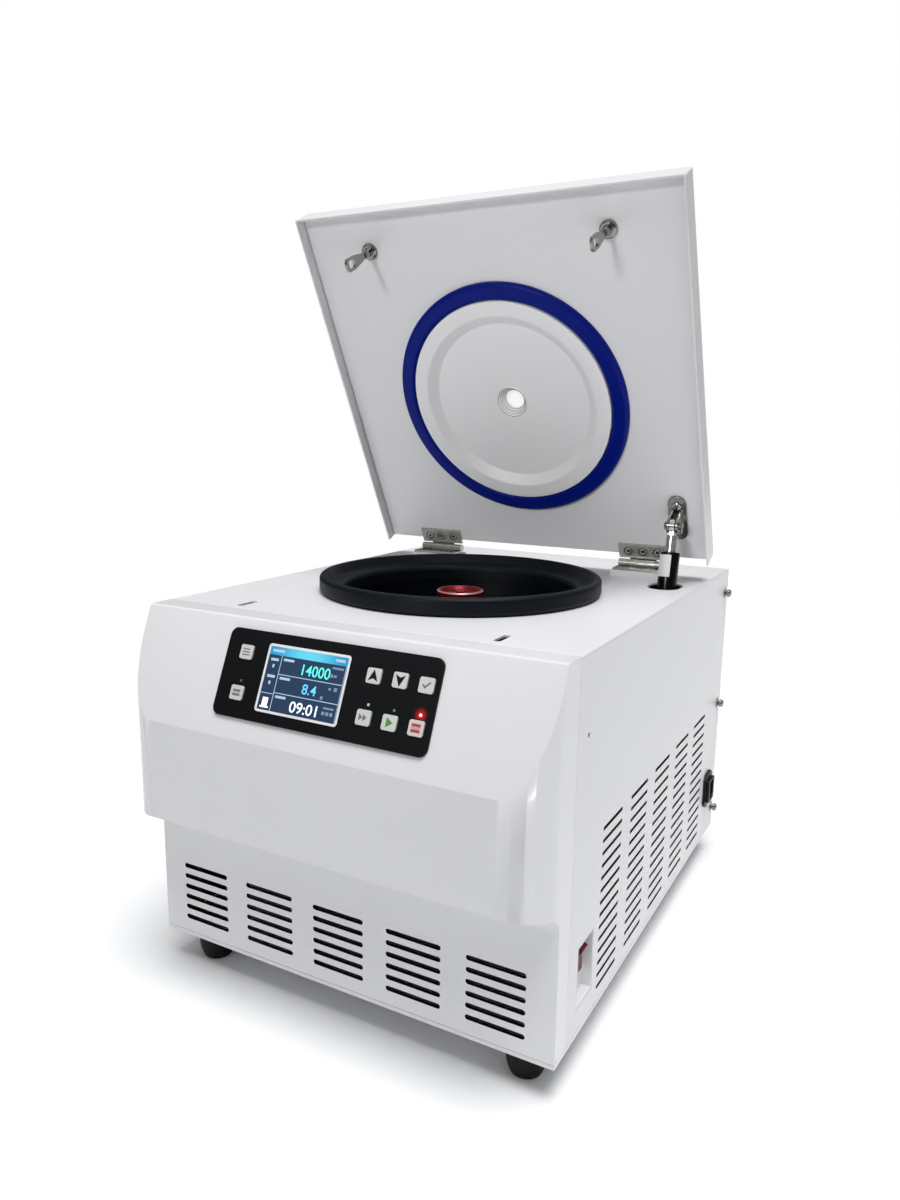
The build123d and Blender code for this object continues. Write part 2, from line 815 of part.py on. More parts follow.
# Fixed-angle rotor with slanted tube wells
mouth_z = rotor_z + tube_mouth[1]
with BuildPart() as rotor:
    with BuildSketch(chamber_section):
        with BuildLine():
            Polyline(
                (shaft_radius + touch_gap, rotor_z),
                (rotor_foot, rotor_z),
                (rotor_radius, rotor_z + rotor_cone),
                (rotor_radius, rotor_z + rotor_height),
                (rotor_radius - rotor_rim, rotor_z + rotor_height),
                (rotor_radius - rotor_rim - rotor_rim_step[0], rotor_z + rotor_height - rotor_rim_step[1]),
                (tube_mouth[0] + well_margin[1], mouth_z + well_margin[1]),
                (tube_mouth[0] - well_margin[0], mouth_z - well_margin[0]),
                (rotor_hub[0], mouth_z - well_margin[0]),
                (rotor_hub[1], rotor_z + rotor_hub_height),
                (hub_bore + pin_running_gap, rotor_z + rotor_hub_height),
                (hub_bore + pin_running_gap, rotor_z + shaft_seat + 4),
                (shaft_radius - shaft_taper + touch_gap, rotor_z + shaft_seat),
                close=True,
            )
        make_face()
    revolve(axis=chamber_axis)
    for k in range(well_count):
        turn = 2 * 180 / well_count * k
        out = Vector(cos(radians(turn)), sin(radians(turn)), 0)
        lean = radians(tube_angle)
        down = out * sin(lean) - Vector(0, 0, cos(lean))
        mouth = Vector(0, chamber_y, mouth_z) + out * tube_mouth[0]
        with BuildSketch(Plane(origin=mouth - down * well_reach, z_dir=down)):
            Circle(tube_radius)
        extrude(amount=tube_depth + well_reach, mode=Mode.SUBTRACT)
save(rotor.part, "rotor")


# Rotor cover
cover_z = rotor_z + rotor_height - rotor_rim_step[1] + touch_gap
cover_top = cover_z + cover_rise + cover_sheet
with BuildPart() as rotor_cover:
    with BuildSketch(chamber_section) as cover_profile:
        with BuildLine():
            Polyline(
                (hub_bore + running_gap, cover_z + cover_rise),
                (cover_hub, cover_z + cover_rise),
                (cover_radius - cover_rim[0], cover_z),
                (cover_radius, cover_z),
                (cover_radius, cover_z + cover_rim[1]),
                (cover_radius - cover_rim[0] + 2, cover_z + cover_rim[1] + 1),
                (cover_hub + 2, cover_top),
                (hub_bore + running_gap, cover_top),
                close=True,
            )
        make_face()
    revolve(axis=chamber_axis)
save(rotor_cover.part, "rotor_cover")


# Rotor knob: threaded stem, collar and dished head
knob_low = top_z - knob_height
with BuildPart() as rotor_knob:
    with BuildSketch(chamber_section) as knob_profile:
        with BuildLine():
            Polyline(
                (0, rotor_z + rotor_hub_height - knob_stem),
                (hub_bore, rotor_z + rotor_hub_height - knob_stem),
                (hub_bore, cover_top + touch_gap),
                (knob_collar, cover_top + touch_gap),
                (knob_collar, knob_low + knob_skirt[0]),
                (knob_radius, knob_low + knob_skirt[1]),
                (knob_radius, top_z),
                (knob_radius - knob_dish[0], top_z),
                (knob_radius - knob_dish[1], top_z - knob_dish[2]),
                (knob_nut[0], top_z - knob_dish[2]),
                (knob_nut[0], top_z - knob_nut[1]),
                (0, top_z - knob_nut[1]),
                close=True,
            )
        make_face()
    revolve(axis=chamber_axis)
    with BuildSketch(Plane.XY.offset(top_z - 3)):
        with Locations((0, chamber_y)):
            with PolarLocations(knob_radius + knob_flute_out, knob_flutes):
                Circle(knob_flute)
    extrude(amount=-knob_height, mode=Mode.SUBTRACT)
save(rotor_knob.part, "rotor_knob")


# Raised blocks that carry the hinges
block_high = pivot_height - hinge_offset
block_length = hinge_length + 2 * block_margin
block_front = hinge_leaf + block_margin
block_rear = hinge_barrel + block_margin
hinge_places = [-hinge_spacing / 2, hinge_spacing / 2]
with BuildPart() as hinge_blocks:
    for x in hinge_places:
        with BuildSketch(Plane.XY.offset(top_z)):
            with Locations((x, pivot_y + (block_rear - block_front) / 2)):
                RectangleRounded(block_length, block_front + block_rear, 3)
        extrude(amount=block_high)
    fillet(hinge_blocks.faces().filter_by(Axis.Z).group_by(Axis.Z)[-1].edges(), 1.2)
save(hinge_blocks.part, "hinge_blocks")


# Hinge leaves: each a knuckled strip with three countersunk holes
outer_knuckle = (hinge_length - hinge_middle) / 2
knuckle_gap = 0.3
bore_radius = hinge_pin_radius + pin_running_gap


def hinge_leaf_part(base, face_z, inward, knuckles):
    """Leaves of both hinges on one base plane; inward is the local z away from the face."""
    with BuildPart() as leaf:
        for x in hinge_places:
            for start, length in knuckles:
                low = x - hinge_length / 2 + start + knuckle_gap / 2
                side_plane = Plane(
                    origin=base.from_local_coords((low, 0, 0)), x_dir=base.y_dir, z_dir=base.x_dir
                )
                with BuildSketch(side_plane):
                    Circle(hinge_barrel)
                    with Locations((-hinge_barrel / 2, face_z + inward * hinge_sheet / 2)):
                        Rectangle(hinge_barrel, hinge_sheet)
                    Circle(bore_radius, mode=Mode.SUBTRACT)
                extrude(amount=length - knuckle_gap)
            strip_depth = hinge_leaf - hinge_barrel - knuckle_gap
            strip_mid = -hinge_barrel - knuckle_gap - strip_depth / 2
            with BuildSketch(base.offset(face_z)):
                with Locations((x, strip_mid)):
                    Rectangle(hinge_length, strip_depth)
            extrude(amount=inward * hinge_sheet)
            for start, length in knuckles:
                mid = x - hinge_length / 2 + start + length / 2
                with BuildSketch(base.offset(face_z)):
                    with Locations((mid, -hinge_barrel)):
                        Rectangle(length - knuckle_gap, hinge_barrel)
                extrude(amount=inward * hinge_sheet)
            screw_face = base.offset(face_z + inward * hinge_sheet)
            if inward < 0:
                screw_face = Plane(screw_face.origin, x_dir=base.x_dir, z_dir=-base.z_dir)
            sign = 1 if inward > 0 else -1
            for k in (-1, 0, 1):
                spot = (x + k * hinge_length * 0.3, strip_mid * sign)
                with BuildSketch(screw_face):
                    with Locations(spot):
                        Circle(hinge_screw_radius)
                extrude(amount=-hinge_sheet, mode=Mode.SUBTRACT)
                with BuildSketch(screw_face):
                    with Locations(spot):
                        Circle(2 * hinge_screw_radius)
                extrude(amount=-hinge_sheet, taper=52, mode=Mode.SUBTRACT)
    return leaf.part


outer_knuckles = ((0, outer_knuckle), (outer_knuckle + hinge_middle, outer_knuckle))
middle_knuckle = ((outer_knuckle, hinge_middle),)
pivot_plane = Plane.XY.offset(pivot_z)
pivot_plane = Plane(origin=(0, pivot_y, pivot_z), x_dir=(1, 0, 0), z_dir=(0, 0, 1))
hinge_lower_leaves = hinge_leaf_part(pivot_plane, -hinge_offset, 1, outer_knuckles)
save(hinge_lower_leaves, "hinge_lower_leaves")
hinge_upper_leaves = hinge_leaf_part(lid_plane, hinge_offset, -1, middle_knuckle)
save(hinge_upper_leaves, "hinge_upper_leaves")

with BuildPart() as hinge_pins:
    for x in hinge_places:
        low_end = Plane(
            origin=(x - hinge_length / 2, pivot_y, pivot_z), x_dir=(0, 1, 0), z_dir=(1, 0, 0)
        )
        with BuildSketch(low_end):
            Circle(hinge_pin_radius)
        extrude(amount=hinge_length)
save(hinge_pins.part, "hinge_pins")


# Lid shell: a tray with three closed edges
with BuildPart() as lid_shell:
    with BuildSketch(lid_plane.offset(lid_edge_z)):
        with Locations((0, lid_mid)):
            RectangleRounded(2 * lid_half, lid_length, 2)
    extrude(amount=lid_depth)
    fillet(lid_shell.faces().sort_by(Axis(lid_plane.origin, lid_plane.z_dir))[-1].edges(), lid_edge_radius)
    inner_depth = lid_depth - lid_wall
    with BuildSketch(lid_plane.offset(lid_edge_z)):
        with Locations((0, lid_mid)):
            Rectangle(2 * (lid_half - lid_wall), lid_length - 2 * lid_wall)
    extrude(amount=inner_depth, mode=Mode.SUBTRACT)
    with BuildSketch(lid_plane.offset(lid_edge_z)):
        with Locations((0, -lid_back - lid_wall)):
            Rectangle(2 * (lid_half - lid_wall), 3 * lid_wall)
    extrude(amount=lid_recess + liner_sheet, mode=Mode.SUBTRACT)
    with BuildSketch(lid_plane.offset(lid_top_z)):
        with Locations((0, disc_y)):
            Circle(sight_radius - 3)
    extrude(amount=-lid_wall, mode=Mode.SUBTRACT)
save(lid_shell.part, "lid_shell")

# Lining panel inside the lid
with BuildPart() as lid_liner:
    with BuildSketch(lid_plane.offset(liner_z)):
        with Locations((0, lid_mid + lid_wall / 4)):
            Rectangle(2 * (lid_half - lid_wall - seam_gap), lid_length - lid_wall * 1.5)
        with Locations((0, disc_y)):
            Circle(seal_inner - 4, mode=Mode.SUBTRACT)
    extrude(amount=liner_sheet)
save(lid_liner.part, "lid_liner")

# Foam core between the shell and the lining
core_low = liner_z + liner_sheet
core_high = lid_top_z - lid_wall
with BuildPart() as lid_core:
    with BuildSketch(lid_plane.offset(core_low)):
        with Locations((0, lid_mid)):
            Rectangle(2 * (lid_half - lid_wall - seam_gap), lid_length - 4 * lid_wall)
        with Locations((0, disc_y)):
            Circle(disc_radius + 6, mode=Mode.SUBTRACT)
    extrude(amount=core_high - core_low)
save(lid_core.part, "lid_core")

# Moulded disc inside the seal
disc_section = standing(lid_plane, 0, disc_y)
disc_axis = upright_axis(disc_section)
rim_z = liner_z - disc_proud
floor_z = liner_z + disc_sink
with BuildPart() as lid_disc:
    with BuildSketch(disc_section) as disc_profile:
        with BuildLine():
            Polyline(
                (sight_radius + touch_gap, floor_z),
                (disc_floor_radius, floor_z),
                (disc_step_radius, rim_z),
                (disc_radius, rim_z),
                (disc_radius, liner_z - touch_gap),
                (seal_inner - 4 - touch_gap, liner_z - touch_gap),
                (seal_inner - 4 - touch_gap, rim_z + disc_wall),
                (disc_step_radius + 1.5, rim_z + disc_wall),
                (disc_floor_radius + 1.5, floor_z + disc_wall),
                (sight_radius + touch_gap, floor_z + disc_wall),
                close=True,
            )
        make_face()
    revolve(axis=disc_axis)
save(lid_disc.part, "lid_disc")

# Blue seal round the disc
with BuildPart() as lid_seal:
    with BuildSketch(disc_section) as seal_profile:
        with Locations((seal_inner + seal_width / 2, liner_z - seal_proud / 2)):
            Rectangle(seal_width, seal_proud)
        fillet(seal_profile.vertices().group_by(Axis.Y)[0], 4)
    revolve(axis=disc_axis)
save(lid_seal.part, "lid_seal")

# Sight glass through the lid, stepped like a lens mount
with BuildPart() as sight_glass:
    with BuildSketch(disc_section):
        with BuildLine():
            Polyline(
                (0, floor_z + 5),
                (12, floor_z + 5),
                (12, floor_z + 2.5),
                (15.5, floor_z + 2.5),
                (15.5, floor_z),
                (sight_radius, floor_z),
                (sight_radius, lid_top_z - lid_wall - touch_gap),
                (sight_radius - 3 - touch_gap, lid_top_z - lid_wall - touch_gap),
                (sight_radius - 3 - touch_gap, lid_top_z),
                (0, lid_top_z),
                close=True,
            )
        make_face()
    revolve(axis=disc_axis)
save(sight_glass.part, "sight_glass")


# Lock strikers: flange, neck and a drilled eye plate
striker_local_y = striker_y - pivot_y
tip_z = liner_z - striker_length
eye_z = tip_z + striker_hole_up
with BuildPart() as strikers:
    for x in (-striker_spacing / 2, striker_spacing / 2):
        with BuildSketch(lid_plane.offset(liner_z)):
            with Locations((x, striker_local_y)):
                Circle(striker_flange_radius)
        extrude(amount=-striker_flange)
        with BuildSketch(lid_plane.offset(liner_z - striker_flange)):
            with Locations((x, striker_local_y)):
                Circle(striker_neck_radius)
        extrude(amount=-9)
        blade_plane = Plane(
            origin=lid_plane.from_local_coords((x - striker_sheet / 2, striker_local_y, 0)),
            x_dir=lid_plane.y_dir,
            z_dir=lid_plane.x_dir,
        )
        half_blade = striker_width / 2
        neck_z = liner_z - striker_flange - 7
        with BuildSketch(blade_plane) as blade:
            with BuildLine():
                Polyline(
                    (-striker_neck_radius + 0.6, neck_z),
                    (striker_neck_radius - 0.6, neck_z),
                    (striker_neck_radius - 0.6, neck_z - 5),
                    (half_blade, eye_z + striker_hole[1] / 2),
                    (half_blade, eye_z - striker_hole[1] / 2),
                    (half_blade - 4, tip_z),
                    (-half_blade + 4, tip_z),
                    (-half_blade, eye_z - striker_hole[1] / 2),
                    (-half_blade, eye_z + striker_hole[1] / 2),
                    (-striker_neck_radius + 0.6, neck_z - 5),
                    close=True,
                )
            make_face()
            with Locations((0, eye_z)):
                Rectangle(*striker_hole, mode=Mode.SUBTRACT)
        extrude(amount=striker_sheet)
save(strikers.part, "strikers")


# Lock housings under the top plate, open to the slots, with their bolts
lock_width = 40.0
lock_depth = 38.0
lock_height = 62.0
lock_pocket = 10.0
bolt_z = pivot_z + eye_z
lock_top = under_top
with BuildPart() as lock_housings:
    for side in (-1, 1):
        x = side * striker_spacing / 2
        with BuildSketch(Plane.XY.offset(lock_top)):
            with Locations((x - side * (lock_width / 2 - lock_pocket), striker_y)):
                Rectangle(lock_width, lock_depth)
            with Locations((x, striker_y)):
                Rectangle(lock_pocket, slot_length + 2, mode=Mode.SUBTRACT)
        extrude(amount=-lock_height)
        channel = Plane(
            origin=(x - side * lock_pocket / 2, striker_y, bolt_z), x_dir=(0, side, 0), z_dir=(-side, 0, 0)
        )
        with BuildSketch(channel):
            Rectangle(bolt_size[0] + 2 * bolt_gap, bolt_size[1] + 2 * bolt_gap)
        extrude(amount=lock_width, mode=Mode.SUBTRACT)
save(lock_housings.part, "lock_housings")

for side, bolt_name in ((-1, "lock_bolt_left"), (1, "lock_bolt_right")):
    with BuildPart() as lock_bolt:
        x = side * (striker_spacing / 2 - lock_pocket / 2 - touch_gap)
        bolt_plane = Plane(origin=(x, striker_y, bolt_z), x_dir=(0, 1, 0), z_dir=(-side, 0, 0))
        with BuildSketch(bolt_plane):
            Rectangle(*bolt_size)
        extrude(amount=lock_width)
        with BuildSketch(bolt_plane.offset(lock_width)):
            Circle(bolt_size[1] * 1.1)
        extrude(amount=14)
    save(lock_bolt.part, bolt_name)


# Gas spring bracket on the lid: plate, two ears and the pin
pin_place = lid_plane.from_local_coords((spring_x, -spring_pin_ahead, -spring_pin_down))
bracket_mid = -bracket_near - bracket_length / 2
ear_inner = eye_thickness / 2 + eye_gap
with BuildPart() as gas_bracket:
    with BuildSketch(lid_plane.offset(liner_z)):
        with Locations((spring_x, bracket_mid)):
            SlotOverall(bracket_length, bracket_width, rotation=90)
    extrude(amount=-bracket_sheet)
    for side in (-1, 1):
        start = spring_x + (ear_inner if side > 0 else -ear_inner - ear_sheet)
        ear_plane = Plane(
            origin=lid_plane.from_local_coords((start, 0, 0)),
            x_dir=lid_plane.y_dir,
            z_dir=lid_plane.x_dir,
        )
        with BuildSketch(ear_plane):
            with Locations((-spring_pin_ahead, -spring_pin_down)):
                Circle(ear_radius)
            with BuildLine():
                Polyline(
                    (-spring_pin_ahead + ear_radius, -spring_pin_down),
                    (-spring_pin_ahead + ear_radius + 2, liner_z - bracket_sheet / 2),
                    (-spring_pin_ahead - ear_radius - 2, liner_z - bracket_sheet / 2),
                    (-spring_pin_ahead - ear_radius, -spring_pin_down),
                    close=True,
                )
            make_face()
            with Locations((-spring_pin_ahead, -spring_pin_down)):
                Circle(spring_pin_radius, mode=Mode.SUBTRACT)
        extrude(amount=ear_sheet)
    bolt_half = ear_inner + ear_sheet
    left_end = Plane(origin=pin_place - Vector(bolt_half, 0, 0), x_dir=(0, 1, 0), z_dir=(1, 0, 0))
    with BuildSketch(left_end):
        Circle(spring_pin_radius)
    extrude(amount=2 * bolt_half)
    with BuildSketch(left_end):
        Circle(4.6)
    extrude(amount=-3)
    with BuildSketch(left_end.offset(2 * bolt_half)):
        RegularPolygon(5, 6)
    extrude(amount=4)
save(gas_bracket.part, "gas_bracket")


# Gas spring: end fitting, cylinder and rod on one tilted axis
tilt = radians(spring_tilt)
spring_down = Vector(0, -sin(tilt), -cos(tilt))
spring_side = Vector(0, cos(tilt), -sin(tilt))


def spring_plane(distance):
    """A plane across the spring, at a distance below its upper pin."""
    return Plane(origin=pin_place + spring_down * distance, x_dir=(1, 0, 0), z_dir=spring_down)


with BuildPart() as gas_fitting:
    eye_plane = Plane(
        origin=pin_place - Vector(eye_thickness / 2, 0, 0), x_dir=spring_side, z_dir=(1, 0, 0)
    )
    with BuildSketch(eye_plane):
        Circle(eye_radius)
        Circle(spring_pin_radius + pin_running_gap, mode=Mode.SUBTRACT)
    extrude(amount=eye_thickness)
    with BuildSketch(spring_plane(eye_radius - 1.5)):
        Rectangle(eye_thickness, 11)
    extrude(amount=5)
    with BuildSketch(spring_plane(eye_radius + 3)):
        Circle(fitting_radius)
    extrude(amount=fitting_length - eye_radius - 3)
save(gas_fitting.part, "gas_fitting")

with BuildPart() as gas_cylinder:
    with BuildSketch(spring_plane(fitting_length)):
        Circle(cylinder_radius)
        Circle(rod_radius + running_gap, mode=Mode.SUBTRACT)
    extrude(amount=cylinder_length)
    with BuildSketch(spring_plane(fitting_length)):
        Circle(cylinder_radius)
    extrude(amount=8)
    fillet(gas_cylinder.edges().filter_by(GeomType.CIRCLE).filter_by(lambda e: e.radius > 10), 1.5)
save(gas_cylinder.part, "gas_cylinder")

rod_top = fitting_length + cylinder_length - rod_inside
with BuildPart() as gas_rod:
    with BuildSketch(spring_plane(rod_top)):
        Circle(rod_radius)
    extrude(amount=spring_length - rod_top - shank_length)
    with BuildSketch(spring_plane(spring_length - shank_length - 6)):
        Circle(rod_radius + 1.5)
    extrude(amount=6)
    foot_plane = Plane(
        origin=pin_place + spring_down * spring_length - Vector(eye_thickness / 2, 0, 0),
        x_dir=spring_side,
        z_dir=(1, 0, 0),
    )
    with BuildSketch(foot_plane):
        Circle(eye_radius - 1.5)
        with Locations((0, shank_length / 2)):
            Rectangle(11, shank_length)
    extrude(amount=eye_thickness)
    with BuildSketch(foot_plane.offset(eye_thickness / 2)):
        Circle(cross_pin_radius)
    extrude(amount=9, both=True)
save(gas_rod.part, "gas_rod")


# Lower bracket of the spring, with the slots its cross pin rides in
anchor_y = pivot_y - spring_anchor_ahead
anchor_z = top_z - spring_anchor_down
cheek_inner = eye_thickness / 2 + eye_gap
with BuildPart() as gas_anchor:
    for side in (-1, 1):
        start = spring_x + (cheek_inner if side > 0 else -cheek_inner - ear_sheet)
        with BuildSketch(side_view(start)):
            with Locations((anchor_y, anchor_z)):
                Rectangle(anchor_slot[0] + 14, anchor_slot[1] + 8)
                SlotOverall(*anchor_slot, mode=Mode.SUBTRACT)
        extrude(amount=ear_sheet)
    web_low = anchor_z - anchor_slot[1] / 2 - 4
    with BuildSketch(Plane.XY.offset(web_low - ear_sheet)):
        with Locations(((spring_x - cheek_inner - ear_sheet + inner_x - rail_size) / 2, anchor_y)):
            Rectangle(inner_x - rail_size - spring_x + cheek_inner + ear_sheet, anchor_slot[0] + 14)
    extrude(amount=ear_sheet)
    with BuildSketch(side_view(inner_x - rail_size - ear_sheet)):
        with Locations((anchor_y, anchor_z - 2)):
            Rectangle(anchor_slot[0] + 14, anchor_slot[1] + 22)
    extrude(amount=ear_sheet)
save(gas_anchor.part, "gas_anchor")


# Control panel bezel with the screen window and the key holes
bezel_middle = -bezel_top - bezel_height / 2
face_axis = Axis(face_plane.origin, face_plane.z_dir)
with BuildPart() as keypad_bezel:
    with BuildSketch(face_plane):
        with Locations((bezel_side, bezel_middle)):
            RectangleRounded(bezel_width, bezel_height, bezel_radius)
        with Locations((screen_x, -screen_down)):
            RectangleRounded(
                screen_width + 2 * touch_gap, screen_height + 2 * touch_gap, 3, mode=Mode.SUBTRACT
            )
        for u, v in key_places.values():
            with Locations((u, -v)):
                RectangleRounded(
                    key_width + 2 * key_gap,
                    key_height + 2 * key_gap,
                    key_radius + key_gap,
                    mode=Mode.SUBTRACT,
                )
    extrude(amount=bezel_thickness)
    fillet(keypad_bezel.faces().sort_by(face_axis)[-1].outer_wire().edges(), bezel_edge)
save(keypad_bezel.part, "keypad_bezel")

# Screen module in its window
with BuildPart() as screen_module:
    with BuildSketch(face_plane.offset(bezel_thickness + 0.4)):
        with Locations((screen_x, -screen_down)):
            RectangleRounded(screen_width, screen_height, 3)
    extrude(amount=-screen_thickness)
save(screen_module.part, "screen_module")

# Keys, each on its own
key_top = bezel_thickness + key_proud
for key_name, (u, v) in key_places.items():
    with BuildPart() as key:
        with BuildSketch(face_plane.offset(key_top)):
            with Locations((u, -v)):
                RectangleRounded(key_width, key_height, key_radius)
        extrude(amount=-key_thickness)
        fillet(key.faces().sort_by(face_axis)[-1].edges(), key_edge)
    save(key.part, key_name)

# Circuit boards: one behind the control panel, one on the left wall
board_back = key_top - key_thickness - 1.5
with BuildPart() as circuit_boards:
    with BuildSketch(face_plane.offset(board_back - 4)):
        with Locations((bezel_side, bezel_middle)):
            Rectangle(bezel_width - 2 * board_edge, bezel_height - 2 * board_edge)
    extrude(amount=-board_sheet)
    with BuildSketch(face_plane.offset(board_back - 4 - board_sheet)):
        with Locations((bezel_side, bezel_middle)):
            with GridLocations(60, 0, 3, 1):
                Rectangle(28, 34)
    extrude(amount=-9)
    wall_board = Plane(origin=(-inner_x + wall_board_gap, 0, 0), x_dir=(0, 1, 0), z_dir=(1, 0, 0))
    wall_board_mid = (chamber_y + 20, base_z + wall_board_up)
    board_length, board_height = wall_board_size
    with BuildSketch(wall_board):
        with Locations(wall_board_mid):
            Rectangle(board_length, board_height)
    extrude(amount=board_sheet)
    with BuildSketch(wall_board.offset(board_sheet)):
        with Locations(wall_board_mid):
            with GridLocations(board_length / 4.4, board_height / 2.4, 4, 2):
                Rectangle(board_length / 9, board_height / 5.5)
    extrude(amount=18)
    with BuildSketch(wall_board):
        with Locations(wall_board_mid):
            with GridLocations(board_length - 20, board_height - 20, 2, 2):
                Circle(4)
    extrude(amount=-wall_board_gap)
save(circuit_boards.part, "circuit_boards")


# Pocket in the right panel that shields the power switch
pocket_wall_x = half_width - pocket_depth
with BuildPart() as switch_pocket:
    with BuildSketch(side_view(pocket_wall_x - pocket_sheet)):
        with Locations((pocket_y, pocket_z)):
            Rectangle(pocket_width - 2 * touch_gap, pocket_height - 2 * touch_gap)
    extrude(amount=pocket_depth + pocket_sheet)
    with BuildSketch(side_view(pocket_wall_x)):
        with Locations((pocket_y, pocket_z)):
            Rectangle(
                pocket_width - 2 * touch_gap - 2 * pocket_sheet,
                pocket_height - 2 * touch_gap - 2 * pocket_sheet,
            )
    extrude(amount=pocket_depth, mode=Mode.SUBTRACT)
    switch_z = pocket_z + pocket_height / 2 - pocket_sheet - switch_drop - switch_height / 2
    with BuildSketch(side_view(pocket_wall_x - pocket_sheet)):
        with Locations((pocket_y, switch_z)):
            Rectangle(switch_width - 4, switch_height - 4)
    extrude(amount=pocket_sheet, mode=Mode.SUBTRACT)
save(switch_pocket.part, "switch_pocket")

# Switch housing and its rocker
housing_depth = 20.0
rocker_x = pocket_wall_x + switch_proud
rocker_pivot_x = rocker_x - 5
with BuildPart() as switch_housing:
    with BuildSketch(side_view(pocket_wall_x)):
        with Locations((pocket_y, switch_z)):
            RectangleRounded(switch_width, switch_height, 2)
    extrude(amount=switch_proud)
    with BuildSketch(side_view(pocket_wall_x)):
        with Locations((pocket_y, switch_z)):
            Rectangle(switch_width - 4 - 2 * touch_gap, switch_height - 4 - 2 * touch_gap)
    extrude(amount=-housing_depth)
    with BuildSketch(side_view(rocker_x)):
        with Locations((pocket_y, switch_z)):
            Rectangle(rocker_width + 2 * rocker_gap, rocker_height + 2 * rocker_gap + 1.6)
    extrude(amount=-housing_depth + 4, mode=Mode.SUBTRACT)
    rocker_axis = Plane(origin=(rocker_pivot_x, pocket_y, switch_z), x_dir=(1, 0, 0), z_dir=(0, 1, 0))
    with BuildSketch(rocker_axis):
        Circle(rocker_pin)
    extrude(amount=rocker_width / 2 + rocker_gap + 1, both=True)
save(switch_housing.part, "switch_housing")

with BuildPart() as switch_rocker:
    tilt_plane = Plane(
        origin=(rocker_pivot_x, pocket_y - rocker_width / 2, switch_z),
        x_dir=(cos(radians(rocker_angle)), 0, -sin(radians(rocker_angle))),
        z_dir=(0, 1, 0),
    )
    half_rocker = rocker_height / 2
    with BuildSketch(tilt_plane):
        with BuildLine():
            Polyline(
                (-4, -half_rocker + 5),
                (1, -half_rocker),
                (rocker_reach[0], -half_rocker + rocker_taper),
                (rocker_reach[1], 0),
                (rocker_reach[0], half_rocker - rocker_taper),
                (1, half_rocker),
                (-4, half_rocker - 5),
                close=True,
            )
        make_face()
        Circle(rocker_pin + rocker_pin_gap, mode=Mode.SUBTRACT)
    extrude(amount=rocker_width)
save(switch_rocker.part, "switch_rocker")


# Mains inlet with its socket and three blades
with BuildPart() as power_inlet:
    with BuildSketch(side_view(half_width)) as inlet_face:
        with Locations((inlet_y, inlet_z)):
            Rectangle(inlet_width, inlet_height)
        chamfer(inlet_face.vertices(), 6)
    extrude(amount=inlet_flange)
    with BuildSketch(side_view(half_width + inlet_flange)):
        with Locations((inlet_y, inlet_z)):
            RectangleRounded(inlet_width - 7, inlet_height - 14, 3)
    extrude(amount=inlet_proud)
    with BuildSketch(side_view(half_width)):
        with Locations((inlet_y, inlet_z)):
            Rectangle(inlet_width - 4 - 2 * touch_gap, inlet_height - 14 - 2 * touch_gap)
    extrude(amount=-socket_depth - 3)
    with BuildSketch(side_view(half_width + inlet_flange + inlet_proud)) as socket_face:
        with Locations((inlet_y, inlet_z)):
            Rectangle(socket_width, socket_height)
        chamfer(socket_face.vertices().group_by(Axis.Y)[0], 4.5)
    extrude(amount=-socket_depth, mode=Mode.SUBTRACT)
    with BuildSketch(side_view(half_width + inlet_flange)):
        with Locations((inlet_y, inlet_z)):
            with GridLocations(0, inlet_height - 8, 1, 2):
                Circle(1.8)
    extrude(amount=-inlet_flange, mode=Mode.SUBTRACT)
    with BuildSketch(side_view(half_width + inlet_flange + inlet_proud - socket_depth)):
        with Locations(
            (inlet_y - 2, inlet_z - 7), (inlet_y - 2, inlet_z + 7), (inlet_y + 2, inlet_z)
        ):
            Rectangle(4, 2)
    extrude(amount=socket_depth - 3)
save(power_inlet.part, "power_inlet")


# Condenser with its fins, ahead of the rear fan
fan_front = rear_y - panel_sheet - shroud_depth
condenser_y = fan_front - condenser_size[1] / 2
with BuildPart() as condenser:
    with BuildSketch(Plane.XY.offset(fan_z - condenser_size[2] / 2)):
        with Locations((fan_x, condenser_y)):
            Rectangle(condenser_size[0], condenser_size[1])
            fin_pitch = (condenser_size[0] - 2 * condenser_frame) / condenser_fins
            for end in (-1, 1):
                with Locations((0, end * condenser_size[1] / 2)):
                    with GridLocations(fin_pitch, 0, condenser_fins, 1):
                        Rectangle(fin_pitch * 0.7, condenser_size[1] * 0.7, mode=Mode.SUBTRACT)
    extrude(amount=condenser_size[2])
save(condenser.part, "condenser")

# Fan shroud: a square frame with a round duct and the motor on its arms
shroud_back = rear_y - panel_sheet
duct_radius = fan_radius + fan_clearance
motor_depth = 8.0
with BuildPart() as fan_shroud:
    shroud_plane = Plane(origin=(0, shroud_back, 0), x_dir=(-1, 0, 0), z_dir=(0, 1, 0))
    with BuildSketch(shroud_plane):
        with Locations((-fan_x, fan_z)):
            Rectangle(2 * duct_radius + 8, 2 * duct_radius + 8)
            Circle(duct_radius, mode=Mode.SUBTRACT)
    extrude(amount=-shroud_depth)
    with BuildSketch(shroud_plane.offset(-shroud_depth)):
        with Locations((-fan_x, fan_z)):
            Circle(fan_hub)
            for angle in (0, 90):
                Rectangle(2 * duct_radius + 4, 5, rotation=angle)
    extrude(amount=motor_depth)
save(fan_shroud.part, "fan_shroud")

